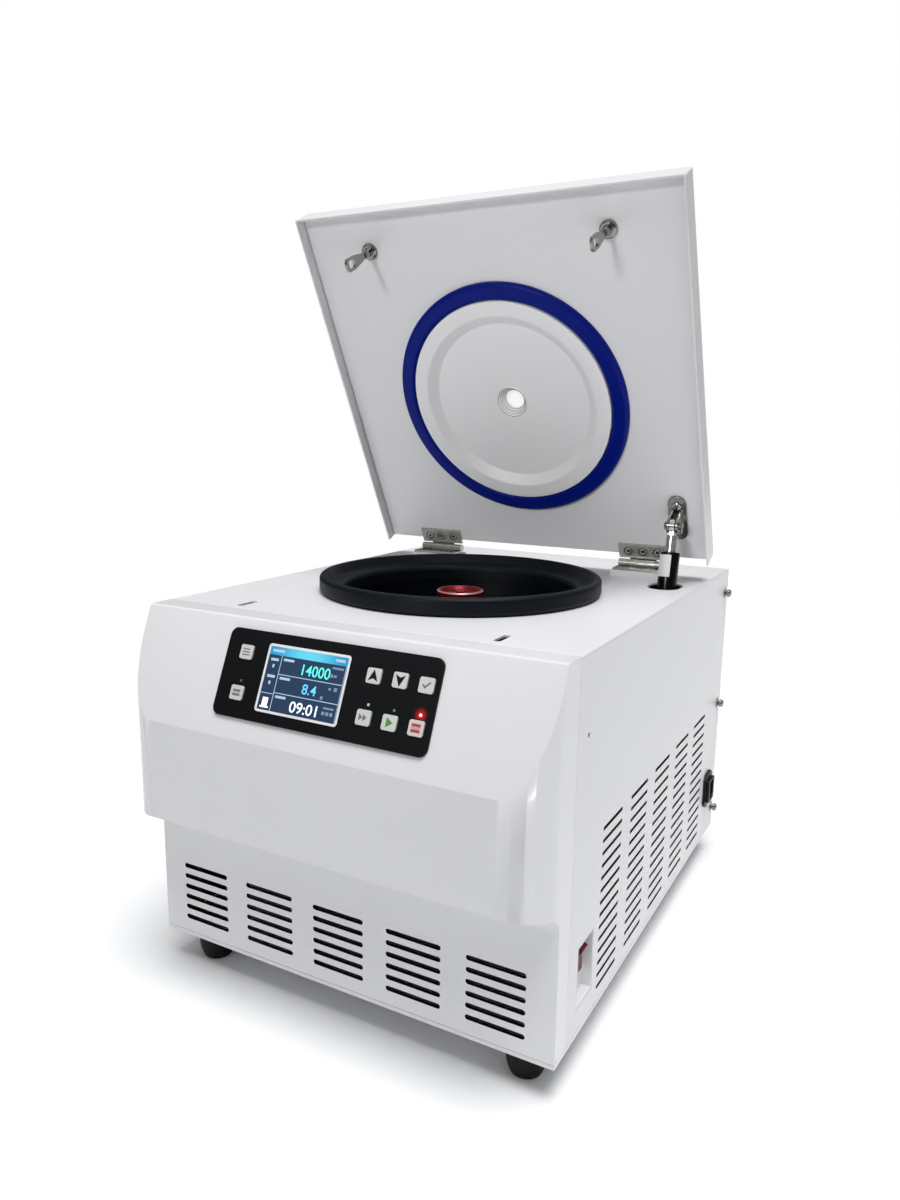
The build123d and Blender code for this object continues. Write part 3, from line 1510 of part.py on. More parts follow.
# Cooling fan: hub with pitched blades
fan_start = shroud_back - shroud_depth + motor_depth + touch_gap
with BuildPart() as condenser_fan:
    fan_plane = Plane(origin=(fan_x, fan_start, fan_z), x_dir=(-1, 0, 0), z_dir=(0, 1, 0))
    with BuildSketch(fan_plane):
        Circle(fan_hub)
    extrude(amount=fan_depth)
    for k in range(fan_blades):
        turn = radians(360 / fan_blades * k)
        out = Vector(cos(turn), 0, sin(turn))
        across = Vector(-sin(turn), 0, cos(turn))
        lean = Vector(0, 1, 0) * sin(radians(35)) + across * cos(radians(35))
        root = Vector(fan_x, fan_start + fan_depth / 2, fan_z) + out * (fan_hub - 2)
        with BuildSketch(Plane(origin=root, x_dir=lean, z_dir=out)):
            Rectangle(22, 2)
        extrude(amount=fan_radius - fan_hub)
save(condenser_fan.part, "condenser_fan")


# Hermetic compressor on its feet
compressor_y = rear_y - compressor_from_rear
with BuildPart() as compressor:
    compressor_section = standing(Plane.XY, compressor_x, compressor_y)
    low = foot_height + tray_floor + compressor_lift
    with BuildSketch(compressor_section) as can_profile:
        with BuildLine():
            Polyline(
                (0, low),
                (compressor_radius, low),
                (compressor_radius, low + compressor_height),
                (0, low + compressor_height),
                close=True,
            )
        make_face()
        fillet(can_profile.vertices().group_by(Axis.X)[-1], compressor_shoulder)
    revolve(axis=upright_axis(compressor_section))
    with BuildSketch(Plane.XY.offset(low + 4)):
        with Locations((compressor_x, compressor_y)):
            RectangleRounded(2 * compressor_radius + 26, 2 * compressor_radius - 10, 10)
    extrude(amount=3)
    with BuildSketch(Plane.XY.offset(foot_height + tray_floor)):
        with Locations((compressor_x, compressor_y)):
            with GridLocations(2 * compressor_radius + 4, 2 * compressor_radius - 34, 2, 2):
                Circle(compressor_foot)
    extrude(amount=low + 4 - foot_height - tray_floor)
save(compressor.part, "compressor")

# Refrigerant line from the compressor to the condenser with its filter drier
with BuildPart() as refrigerant_line:
    start = Vector(compressor_x - 6, compressor_y, low + compressor_height)
    drier_x = fan_x + condenser_size[0] / 2 + drier_gap
    drier_top = Vector(drier_x, compressor_y, start.Z + line_rise - 1)
    with BuildLine() as route:
        FilletPolyline(
            start,
            start + Vector(0, 0, line_rise),
            drier_top,
            drier_top - Vector(0, 0, line_drop),
            radius=line_bend,
        )
    with BuildSketch(Plane(origin=start, z_dir=(0, 0, 1))):
        Circle(line_radius)
    sweep()
    drier_section = Plane(
        origin=drier_top - Vector(0, 0, line_drop), x_dir=(1, 0, 0), z_dir=(0, -1, 0)
    )
    with BuildSketch(drier_section):
        with BuildLine():
            Polyline(
                (0, 6),
                (line_radius + 0.8, 4),
                (drier_radius, 4 - drier_taper),
                (drier_radius, drier_taper - drier_length),
                (line_radius + 0.8, -drier_length),
                (0, -drier_length),
                close=True,
            )
        make_face()
    revolve(axis=Axis(drier_section.origin, (0, 0, 1)))
    drier_end = drier_section.origin - Vector(0, 0, drier_length)
    with BuildSketch(Plane(origin=drier_end + Vector(0, 0, 4), z_dir=(0, 0, -1))):
        Circle(line_radius)
    extrude(amount=drier_end.Z + 4 - foot_height - tray_floor)
save(refrigerant_line.part, "refrigerant_line")
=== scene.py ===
import json
from contextlib import contextmanager
from math import atan2, cos, radians, sin, tan, tau

import bmesh
import bpy
from mathutils import Matrix, Vector

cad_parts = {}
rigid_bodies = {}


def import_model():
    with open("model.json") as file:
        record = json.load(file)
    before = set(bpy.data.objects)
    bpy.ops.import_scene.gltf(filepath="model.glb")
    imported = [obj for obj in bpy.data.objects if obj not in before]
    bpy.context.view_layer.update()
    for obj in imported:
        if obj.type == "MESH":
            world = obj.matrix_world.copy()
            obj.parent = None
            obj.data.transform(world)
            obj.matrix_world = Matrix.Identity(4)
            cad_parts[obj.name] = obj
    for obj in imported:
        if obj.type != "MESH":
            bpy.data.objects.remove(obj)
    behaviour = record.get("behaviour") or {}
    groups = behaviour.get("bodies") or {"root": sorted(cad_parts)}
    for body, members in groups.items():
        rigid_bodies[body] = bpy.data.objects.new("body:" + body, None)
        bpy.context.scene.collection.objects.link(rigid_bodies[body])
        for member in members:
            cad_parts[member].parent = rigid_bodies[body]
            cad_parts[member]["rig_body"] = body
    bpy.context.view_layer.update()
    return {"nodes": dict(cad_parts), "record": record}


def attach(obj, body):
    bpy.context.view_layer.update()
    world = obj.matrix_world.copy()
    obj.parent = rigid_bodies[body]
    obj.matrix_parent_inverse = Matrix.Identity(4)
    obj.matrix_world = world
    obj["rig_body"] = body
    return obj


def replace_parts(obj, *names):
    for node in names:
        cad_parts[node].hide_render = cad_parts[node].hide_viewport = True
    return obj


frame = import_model()
mm = 0.001

# main places of the machine, in millimetres, as in the part's source
machine = {
    "topZ": 384.5,
    "baseZ": 38.5,
    "rearY": 297.0,
    "browY": -259.5,
    "bulgeY": -304.0,
    "halfWidth": 220.0,
    "chamberY": -25.0,
    "pivotY": 184.7,
    "pivotZ": 398.1,
    "lidAngle": 62.8,
    "faceDrop": 102.0,
    "linerZ": 5.9,
}
discY = machine["chamberY"] - machine["pivotY"]  # middle of the disc, along the lid from its hinge pins

slotOf = {entry["node"]: entry["material_slot"] for entry in frame["record"]["subparts"]}


def bodyOf(node):
    return frame["nodes"][node]["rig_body"]


# places on the lid and on the sloping control face


def lidPoint(x, y, z):
    a = radians(machine["lidAngle"])
    return Vector((
        x,
        machine["pivotY"] + y * cos(a) + z * sin(a),
        machine["pivotZ"] - y * sin(a) + z * cos(a),
    )) * mm


def lidTurn():
    a = radians(machine["lidAngle"])
    return Matrix(((1, 0, 0), (0, cos(a), sin(a)), (0, -sin(a), cos(a)))).to_4x4()


def facePoint(u, v, h):
    s = atan2(machine["faceDrop"], machine["browY"] - machine["bulgeY"])
    return Vector((
        u,
        machine["browY"] - v * cos(s) - h * sin(s),
        machine["topZ"] - v * sin(s) + h * cos(s),
    )) * mm


def flatPoint(x, y, z):
    return Vector((x, y, z)) * mm


# shader sums written as Python


def mathOn(operation, reflected=False):
    def calculate(self, other):
        a, b = (other, self) if reflected else (self, other)
        return self.graph.node("ShaderNodeMath", {"operation": operation}, {0: a, 1: b})
    return calculate


class Value:
    def __init__(self, graph, socket):
        self.graph = graph
        self.socket = socket

    __add__, __radd__ = mathOn("ADD"), mathOn("ADD", reflected=True)
    __sub__, __rsub__ = mathOn("SUBTRACT"), mathOn("SUBTRACT", reflected=True)
    __mul__, __rmul__ = mathOn("MULTIPLY"), mathOn("MULTIPLY", reflected=True)
    __gt__, __lt__ = mathOn("GREATER_THAN"), mathOn("LESS_THAN")


class Graph:
    def __init__(self, tree):
        self.tree = tree

    def node(self, kind, settings=None, inputs=None, out=0):
        made = self.tree.nodes.new(kind)
        for key, value in (settings or {}).items():
            if key == "stops":
                ramp = made.color_ramp
                while len(ramp.elements) < len(value):
                    ramp.elements.new(0.5)
                for element, (place, color) in zip(ramp.elements, value):
                    element.position = place
                    element.color = (*color, 1.0)
            else:
                setattr(made, key, value)
        for key, value in (inputs or {}).items():
            self.feed(made.inputs[key], value)
        return Value(self, made.outputs[out])

    def feed(self, socket, value):
        if isinstance(value, Value):
            self.tree.links.new(value.socket, socket)
        elif socket.type == "RGBA" and len(value) == 3:
            socket.default_value = (*value, 1.0)
        else:
            socket.default_value = value


finishes = {}


class Finish(Graph):
    def __init__(self, name):
        material = bpy.data.materials.new(name)
        material.use_nodes = True
        super().__init__(material.node_tree)
        self.shader = self.tree.nodes["Principled BSDF"]
        finishes[name] = material

    def set(self, **values):
        for key, value in values.items():
            self.feed(self.shader.inputs[key.replace("_", " ")], value)

    def coords(self):
        return self.node("ShaderNodeTexCoord", out="Object")

    def noise(self, scale, detail=3.0, roughness=0.5, stretch=None):
        where = self.coords()
        if stretch:
            where = self.node("ShaderNodeMapping", None, {"Vector": where, "Scale": stretch})
        return self.node(
            "ShaderNodeTexNoise", None,
            {"Vector": where, "Scale": scale, "Detail": detail, "Roughness": roughness},
        )

    def cells(self, scale):
        return self.node("ShaderNodeTexVoronoi", None, {"Vector": self.coords(), "Scale": scale})

    def mix(self, factor, a, b):
        # sockets 6 and 7 are its two colours, output 2 what they make
        return self.node("ShaderNodeMix", {"data_type": "RGBA"}, {0: factor, 6: a, 7: b}, out=2)

    def uneven(self, middle, pattern, spread):
        # a value that wanders to both sides of its middle
        return middle + pattern * spread - spread / 2

    def position(self, axis):
        # how far along X, Y or Z, as 0, 1 or 2
        return self.node("ShaderNodeSeparateXYZ", None, {0: self.coords()}, out=axis)

    def reach(self, place, axis):
        # distance from an axis through a place, for rings on turned pieces
        shifted = self.node(
            "ShaderNodeVectorMath", {"operation": "SUBTRACT"}, {0: self.coords(), 1: tuple(place)}
        )
        crossed = self.node(
            "ShaderNodeVectorMath", {"operation": "CROSS_PRODUCT"}, {0: shifted, 1: tuple(axis)}
        )
        return self.node("ShaderNodeVectorMath", {"operation": "LENGTH"}, {0: crossed}, out=1)

    def crease(self, distance):
        # 0 deep in a corner, 1 in the open
        return self.node(
            "ShaderNodeAmbientOcclusion", {"samples": 8}, {"Distance": distance}, out=1
        )

    def near(self, place, far):
        # 1 at a place, fading to 0 at a distance
        away = self.node(
            "ShaderNodeVectorMath", {"operation": "DISTANCE"}, {0: self.coords(), 1: tuple(place)}, out=1
        )
        return self.node(
            "ShaderNodeMapRange", {"interpolation_type": "SMOOTHERSTEP"},
            {"Value": away, "From Min": 0.0, "From Max": far, "To Min": 1.0, "To Max": 0.0},
        )

    def bump(self, height, strength, distance):
        normal = self.node(
            "ShaderNodeBump", None, {"Height": height, "Strength": strength, "Distance": distance}
        )
        self.set(Normal=normal)


# powder coat: a fine orange peel with a little dust along it, and painted shade: near black on faces marked
# as inside
paint = {"peel": 900, "cloud": 6, "uneven": 0.08, "depth": 0.0004, "unlit": (0.004, 0.004, 0.005)}


def paintFinish(name, color, rough=0.34, grain=0.04, shade=0.03, coat=0.0, gloss=0.45):
    f = Finish(name)
    peel = f.noise(paint["peel"], 2.0)
    cloud = f.noise(paint["cloud"], 4.0)
    dusty = tuple(c * (1 - shade) for c in color)
    # painted shade for the air slots and inner faces marked as inside
    inside = f.node("ShaderNodeAttribute", {"attribute_name": "inside"}, out=2)
    tone = f.mix(inside, f.mix(cloud, dusty, color), paint["unlit"])
    f.set(Base_Color=tone, Roughness=f.uneven(rough, cloud, paint["uneven"]))
    f.set(Coat_Weight=coat, Specular_IOR_Level=gloss)
    f.bump(peel, grain, paint["depth"])


# moulded plastic with a fine spark texture
mould = {"cloud": 9, "cloudy": 0.6, "gain": 1.12, "lift": 0.004, "uneven": 0.1, "depth": 0.0002}


def mouldFinish(name, color, rough=0.4, grain=0.1, size=1400, coat=0.0, gloss=0.5):
    f = Finish(name)
    spark = f.cells(size)
    cloud = f.noise(mould["cloud"], 3.0)
    light = tuple(min(1.0, c * mould["gain"] + mould["lift"]) for c in color)
    f.set(Base_Color=f.mix(cloud * mould["cloudy"], color, light))
    f.set(Roughness=f.uneven(rough, cloud, mould["uneven"]))
    f.set(Coat_Weight=coat, Specular_IOR_Level=gloss)
    f.bump(spark, grain, mould["depth"])


# brushed or drawn metal: long fine streaks, with painted shade darkening its creases
drawn = {
    "streak": 700, "stain": 30, "stained": 0.82, "creased": 0.06, "uneven": 0.16, "polish": 0.06,
    "depth": 0.0002,
}


def metalFinish(name, color, rough=0.28, stretch=(1, 1, 1), grain=0.12, metal=1.0, creaseShade=0.004):
    f = Finish(name)
    streak = f.noise(drawn["streak"], 3.0, 0.6, stretch)
    stain = f.noise(drawn["stain"], 4.0)
    dark = tuple(c * drawn["stained"] for c in color)
    black = tuple(c * drawn["creased"] for c in color)
    # painted shade: ambient occlusion blends the base colour towards near black in creases and corners
    f.set(Base_Color=f.mix(f.crease(creaseShade), black, f.mix(stain, dark, color)), Metallic=metal)
    f.set(Roughness=rough + streak * drawn["uneven"] - drawn["polish"])
    f.bump(streak, grain, drawn["depth"])


# rubber with a paler bloom in patches
rubber = {
    "skin": 1600, "bloom": 22, "cloudy": 0.7, "gain": 1.3, "lift": 0.001, "uneven": 0.12,
    "depth": 0.0003,
}


def rubberFinish(name, color, rough=0.5, grain=0.15, gloss=0.2):
    f = Finish(name)
    skin = f.noise(rubber["skin"], 2.0)
    bloom = f.noise(rubber["bloom"], 4.0)
    pale = tuple(c * rubber["gain"] + rubber["lift"] for c in color)
    f.set(Base_Color=f.mix(bloom * rubber["cloudy"], color, pale))
    f.set(Roughness=f.uneven(rough, bloom, rubber["uneven"]), Specular_IOR_Level=gloss)
    f.bump(skin, grain, rubber["depth"])


# a lit part of the screen, with the faint grid of its dots
lit = {"dots": 2600, "between": 0.8, "unlit": 0.2, "rough": 0.25}


def glowFinish(name, color, strength):
    f = Finish(name)
    dots = f.cells(lit["dots"])
    dim = tuple(c * lit["between"] for c in color)
    f.set(Base_Color=tuple(c * lit["unlit"] for c in color), Roughness=lit["rough"])
    f.set(Emission_Color=f.mix(dots, color, dim), Emission_Strength=strength)
    return f


paintFinish("white_panel", (0.835, 0.838, 0.852))
paintFinish("white_moulding", (0.84, 0.843, 0.857), rough=0.24, grain=0.02, coat=0.2)
paintFinish("liner_white", (0.85, 0.85, 0.865), rough=0.36, grain=0.03)
paintFinish("disc_white", (0.90, 0.90, 0.912), rough=0.42, grain=0.015, shade=0.01)
paintFinish("grey_steel", (0.10, 0.10, 0.11), rough=0.45)
paintFinish("motor_grey", (0.05, 0.055, 0.06), rough=0.4, grain=0.1)
paintFinish("black_enamel", (0.006, 0.006, 0.007), rough=0.3, gloss=0.3)
paintFinish("spring_black", (0.002, 0.002, 0.003), rough=0.22, gloss=0.3)
paintFinish("dark_bowl", (0.002, 0.003, 0.006), rough=0.36, grain=0.1, gloss=0.25)
metalFinish(
    "stainless", (0.68, 0.665, 0.62), rough=0.2, stretch=(0.06, 1, 1), grain=0.02, metal=0.85,
    creaseShade=0.0018,
)
metalFinish("screw_steel", (0.90, 0.89, 0.86), rough=0.16, grain=0.01, creaseShade=0.0012)
metalFinish("zinc_steel", (0.34, 0.335, 0.315), rough=0.2, grain=0.02, creaseShade=0.0035)
metalFinish("satin_steel", (0.80, 0.80, 0.79), rough=0.16, grain=0.004, metal=0.8, creaseShade=0.0014)
metalFinish("rod_chrome", (0.60, 0.60, 0.60), rough=0.1, grain=0.004, creaseShade=0.0012)
# painted shade: the fins are coloured far darker than bare aluminium, as they are seen only in shade behind
# the air slots
metalFinish("fin_aluminium", (0.30, 0.31, 0.33), rough=0.36, grain=0.04)
metalFinish("cover_alloy", (0.022, 0.023, 0.028), rough=0.42, stretch=(1, 1, 0.05), metal=0.6)
metalFinish("rotor_alloy", (0.02, 0.02, 0.025), rough=0.4, metal=0.7)
metalFinish("copper", (0.66, 0.31, 0.17), rough=0.3)
rubberFinish("black_rubber", (0.0025, 0.0025, 0.003), rough=0.5)
rubberFinish("blue_seal", (0.0010, 0.0085, 0.185), rough=0.34, grain=0.04, gloss=0.1)
mouldFinish("black_plastic", (0.004, 0.004, 0.005), rough=0.42, gloss=0.25)
mouldFinish("key_grey", (0.62, 0.63, 0.62), rough=0.42, grain=0.05)
mouldFinish("key_green", (0.62, 0.65, 0.62), rough=0.42, grain=0.05)
mouldFinish("key_red", (0.68, 0.60, 0.585), rough=0.42, grain=0.05)
mouldFinish("rocker_red", (0.15, 0.002, 0.006), rough=0.24, grain=0.02, gloss=0.25)
mouldFinish("board_green", (0.008, 0.06, 0.02), rough=0.35)
mouldFinish("foam", (0.02, 0.02, 0.022), rough=0.9, grain=0.5, size=500)
mouldFinish("screen", (0.010, 0.016, 0.03), rough=0.15, grain=0.01, coat=0.6)
mouldFinish("label_white", (0.82, 0.82, 0.81), rough=0.5, grain=0.05, size=900)


# moulded rubber ring: a butt joint at the rear, and a painted sheen as a paler band along its crown
gasket = {
    "joint": (-6.8, -6.1), "jointBehind": 80.0, "crown": (145.6, 150.8), "sheenSpots": 60, "sheen": 0.7,
    "black": (0.0010, 0.0028, 0.0060), "pale": (0.004, 0.007, 0.012), "gap": (0.0, 0.0, 0.0),
    "rough": 0.42, "uneven": 0.12, "gloss": 0.17, "grain": 0.08, "jointDeep": 3,
}


def gasketFinish():
    f = Finish("gasket_rubber")
    across, along = f.position(0), f.position(1)
    left, right = (edge * mm for edge in gasket["joint"])
    joint = (across > left) * (across < right) * (along > gasket["jointBehind"] * mm)
    far = f.reach((0, machine["chamberY"] * mm, 0), (0, 0, 1)) * (1 / mm)
    inner, outer = gasket["crown"]
    # painted sheen: a pale band on the crown, broken up by noise
    crown = (far > inner) * (far < outer) * f.noise(gasket["sheenSpots"], 3.0)
    tone = f.mix(crown * gasket["sheen"], gasket["black"], gasket["pale"])
    f.set(Base_Color=f.mix(joint, tone, gasket["gap"]), Specular_IOR_Level=gasket["gloss"])
    f.set(Roughness=gasket["rough"] + f.noise(rubber["bloom"], 4.0) * gasket["uneven"])
    skin = f.noise(rubber["skin"], 2.0)
    f.bump(skin - joint * gasket["jointDeep"], gasket["grain"], rubber["depth"])


# black control panel, lit red round its stop lamp
panel = {
    "black": (0.0030, 0.0034, 0.0045), "cloudy": (0.0045, 0.0050, 0.0062), "rough": 0.34, "uneven": 0.08,
    "spark": 1400, "gloss": 0.2, "grain": 0.05, "halo": (0.6, 0.008, 0.012), "haloReach": 9.5,
    "lampTop": 2.4,
}


def panelFinish(lamp):
    f = Finish("panel_black")
    cloud = f.noise(mould["cloud"], 3.0)
    halo = f.near(lamp, panel["haloReach"] * mm)
    f.set(Base_Color=f.mix(cloud, panel["black"], panel["cloudy"]), Emission_Strength=1.0)
    f.set(Roughness=panel["rough"] + cloud * panel["uneven"], Specular_IOR_Level=panel["gloss"])
    f.set(Emission_Color=f.mix(halo * halo, (0.0, 0.0, 0.0), panel["halo"]))
    f.bump(f.noise(panel["spark"], 2.0), panel["grain"], mould["depth"])


# red anodised knob, with a painted highlight as a pale band along its rim
knob = {
    "profile": [
        (0, -73.9), (8, -73.9), (8, -45.6), (14, -45.6), (14, -24), (25.5, -18), (25.5, -1), (24.5, 0),
        (22.5, 0), (19.5, -4), (5, -4), (5, -1.5), (0, -1.5),
    ],
    "corners": {4: 3, 5: 1.5, 8: 0.8, 9: 2, 10: 1, 11: 0.6}, "steps": 5, "sides": 144,
    "flutes": 12, "fluteDeep": 1.1, "fluteFrom": 16, "fluteFade": 6, "fluteBelow": -3, "fluteSharp": 6,
    "red": (0.15, 0.002, 0.006), "rimHighlight": (0.66, 0.36, 0.37), "highlightOutside": 23.9, "highlightDown": 1.6,
    "sheenSpots": 60, "leastHighlight": 0.5, "highlightSpread": 0.4, "rough": 0.3, "uneven": 0.15, "metal": 0.5,
    "gloss": 0.3, "grain": 0.1, "stretch": (1, 1, 0.1),
}


def knobFinish():
    f = Finish("knob_red")
    far = f.reach((0, machine["chamberY"] * mm, 0), (0, 0, 1)) * (1 / mm)
    up = f.position(2)
    streak = f.noise(drawn["streak"], 3.0, 0.6, knob["stretch"])
    highlightShare = knob["leastHighlight"] + f.noise(knob["sheenSpots"], 3.0) * knob["highlightSpread"]
    # painted highlight: the top of the rim is coloured pale pink, broken up by noise
    rimOnly = (far > knob["highlightOutside"]) * (up > (machine["topZ"] - knob["highlightDown"]) * mm)
    f.set(Base_Color=f.mix(rimOnly * highlightShare, knob["red"], knob["rimHighlight"]), Metallic=knob["metal"])
    f.set(Roughness=knob["rough"] + streak * knob["uneven"], Specular_IOR_Level=knob["gloss"])
    f.bump(streak, knob["grain"], drawn["depth"])


# the sight glass is a stepped well, clear at its bottom; its steps carry pale and dark rings as painted
# highlights and painted shade, and the glass has a faint painted glow, dimmer towards its edge
glass = {
    "profile": [
        (0, 13), (11.6, 13), (11.6, 10.2), (13.4, 10.2), (13.4, 7.4), (15.3, 7.4), (15.3, 4.4), (17.2, 4.4),
        (17.2, 2), (19, 2), (19, 13.3), (15.8, 13.3), (15.8, 15.5), (0, 15.5),
    ],
    "corners": {2: 0.5, 4: 0.5, 6: 0.5, 8: 0.6, 9: 0.6}, "steps": 4, "sides": 96,
    "radius": 20, "rings": (11.6, 13.4, 15.3, 17.2), "ringStops": (0.012, 0.018, 0.034, 0.042),
    "clear": (0.97, 0.97, 0.97), "pale": (0.86, 0.87, 0.87), "dark": (0.05, 0.055, 0.055),
    "clearTo": 0.555, "dimFrom": 0.575, "dim": 0.65, "lit": 0.3, "waves": 260, "wobble": 0.02,
    "rough": 0.06, "uneven": 0.05, "through": 0.25, "bend": 1.49, "coat": 0.6, "grain": 0.1, "depth": 0.0004,
}


def glassFinish(centre, axis):
    f = Finish("clear_glass")
    far = f.reach(centre, axis) * (1 / (glass["radius"] * mm))
    wave = f.noise(glass["waves"], 3.0)
    tones = [glass[tone] for tone in ("pale", "dark", "dark", "pale")]
    stops = [(0.0, glass["clear"]), (glass["clearTo"], glass["clear"])]
    for edge in glass["rings"]:
        stops += [(edge / glass["radius"] + past, tone) for past, tone in zip(glass["ringStops"], tones)]
    rings = f.node("ShaderNodeValToRGB", {"stops": stops}, {"Fac": f.uneven(far, wave, glass["wobble"])})
    f.set(Base_Color=rings, Roughness=glass["rough"] + wave * glass["uneven"], IOR=glass["bend"])
    # painted glow: the glass gives off light of its own, as if lit from behind
    f.set(Transmission_Weight=glass["through"], Coat_Weight=glass["coat"], Emission_Strength=glass["lit"])
    dimmed = f.mix(glass["dim"], rings, (0.0, 0.0, 0.0))
    f.set(Emission_Color=f.mix(far > glass["dimFrom"], rings, dimmed))
    f.bump(wave, glass["grain"], glass["depth"])


stopLamp = (104.9, 58.8)
gasketFinish()
panelFinish(facePoint(*stopLamp, panel["lampTop"]))
knobFinish()
glassFinish(lidPoint(0, discY, 0), lidTurn() @ Vector((0, 0, 1)))
print("finishes", len(finishes))


# making pieces

tiny = 1e-7


def inScene(name, data):
    made = bpy.data.objects.new(name, data)
    bpy.context.scene.collection.objects.link(made)
    return made


def coated(name, mesh, finish):
    # a mesh put in the scene in one finish
    mesh.materials.clear()
    mesh.materials.append(finishes[finish])
    return inScene(name, mesh)


@contextmanager
def editing(mesh):
    work = bmesh.new()
    work.from_mesh(mesh)
    yield work
    work.to_mesh(mesh)
    work.free()


def bakeModifiers(piece):
    bpy.context.view_layer.update()
    graph = bpy.context.evaluated_depsgraph_get()
    mesh = bpy.data.meshes.new_from_object(piece.evaluated_get(graph))
    piece.modifiers.clear()
    old = piece.data
    piece.data = mesh
    bpy.data.meshes.remove(old)


def smoothBy(mesh, degrees):
    mesh.polygons.foreach_set("use_smooth", [True] * len(mesh.polygons))
    mesh.set_sharp_from_angle(angle=radians(degrees))


def calmNormals(piece):
    # flat faces keep a flat shade right up to their rounded edges
    tool = piece.modifiers.new("calm", "WEIGHTED_NORMAL")
    tool.mode = "FACE_AREA"
    tool.weight = 100
    tool.keep_sharp = True
    bakeModifiers(piece)


def addPiece(name, mesh, finish, body, slot=None, smooth=35):
    piece = coated(name, mesh, finish)
    if smooth:
        smoothBy(mesh, smooth)
    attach(piece, body)
    slot or finish
    return piece


softening = {"weld": 2e-6, "flatPlain": 0.2, "flatBevelled": 0.6, "solidCorner": 32, "pieceCorner": 40}


def softenEdges(piece, width, corner, segments):
    edge = piece.modifiers.new("edges", "BEVEL")
    edge.width = width * mm
    edge.segments = segments
    edge.limit_method = "ANGLE"
    edge.angle_limit = radians(corner)
    bakeModifiers(piece)


def dress(node, bevel=0.0, smooth=35, segments=2, finish=None):
    # a welded copy of a solid with its edges softened, shown in its place
    mesh = frame["nodes"][node].data.copy()
    flat = radians(softening["flatBevelled"] if bevel else softening["flatPlain"])
    with editing(mesh) as work:
        bmesh.ops.remove_doubles(work, verts=work.verts, dist=softening["weld"])
        bmesh.ops.dissolve_limit(work, angle_limit=flat, verts=work.verts[:], edges=work.edges[:])
    piece = coated(node + "_skin", mesh, finish or slotOf[node])
    if bevel:
        softenEdges(piece, bevel, softening["solidCorner"], segments)
    smoothBy(piece.data, smooth)
    calmNormals(piece)
    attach(piece, bodyOf(node))
    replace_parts(piece, node)
    return piece


def meshFrom(name, points, faces):
    mesh = bpy.data.meshes.new(name)
    mesh.from_pydata([tuple(p) for p in points], [], faces)
    mesh.update()
    with editing(mesh) as work:
        bmesh.ops.remove_doubles(work, verts=work.verts, dist=tiny)
        bmesh.ops.recalc_face_normals(work, faces=work.faces)
    return mesh


def rounded(profile, radii, steps=5):
    # corners of a closed outline rounded by arcs; radii by corner number
    count = len(profile)
    made = []
    for i, corner in enumerate(profile):
        r = radii.get(i, 0)
        p = Vector(corner)
        if not r:
            made.append(p)
            continue
        a = (Vector(profile[i - 1]) - p).normalized()
        b = (Vector(profile[(i + 1) % count]) - p).normalized()
        half = a.angle(b) / 2
        reach = r / tan(half)
        centre = p + (a + b).normalized() * (r / sin(half))
        start, end = p + a * reach - centre, p + b * reach - centre
        for k in range(steps + 1):
            t = k / steps
            d = (start * (1 - t) + end * t).normalized() * r
            made.append(centre + d)
    return made


def band(a, b, count):
    # faces between two closed rings of points that start at a and b
    return [(a + i, a + (i + 1) % count, b + (i + 1) % count, b + i) for i in range(count)]


def lathe(name, profile, place, segments):
    # a closed outline (radius, height) turned round the local height axis
    points, faces = [], []
    count = len(profile)
    for s in range(segments):
        turn = tau * s / segments
        for r, h in profile:
            points.append(place(r * cos(turn), r * sin(turn), h))
    for s in range(segments):
        faces += band(s * count, (s + 1) % segments * count, count)
    mesh = meshFrom(name, points, faces)
    with editing(mesh) as work:
        bmesh.ops.dissolve_degenerate(work, edges=work.edges, dist=tiny)
    return mesh


def turned(name, shape, place):
    # a lathe from a piece's settings
    return lathe(name, rounded(shape["profile"], shape["corners"], shape["steps"]), place, shape["sides"])


def addTurned(name, shape, place, finish, node):
    # a turned piece shown in place of a solid
    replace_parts(addPiece(name, turned(name, shape, place), finish, bodyOf(node)), node)


def slab(name, outline, low, high, place):
    # a flat outline given thickness; place turns (x, y, height) into a point
    count = len(outline)
    points = [place(x, y, low) for x, y in outline] + [place(x, y, high) for x, y in outline]
    faces = [tuple(range(count))[::-1], tuple(range(count, 2 * count))]
    return meshFrom(name, points, faces + band(0, count, count))


def box2(x0, y0, x1, y1):
    return [(x0, y0), (x1, y0), (x1, y1), (x0, y1)]


def roundBox(x, y, w, h, r, steps=5):
    outline = box2(x - w / 2, y - h / 2, x + w / 2, y + h / 2)
    return rounded(outline, dict.fromkeys(range(4), r), steps)


def chamberPlace(x, y, h):
    return flatPoint(x, machine["chamberY"] + y, machine["topZ"] + h)


def discPlace(x, y, h):
    return lidPoint(x, discY + y, machine["linerZ"] + h)


def joinPieces(name, meshes):
    points, faces = [], []
    for mesh in meshes:
        start = len(points)
        points += [v.co.copy() for v in mesh.vertices]
        faces += [tuple(start + i for i in p.vertices) for p in mesh.polygons]
        bpy.data.meshes.remove(mesh)
    return meshFrom(name, points, faces)


# solids carried over from the part, with softened edges

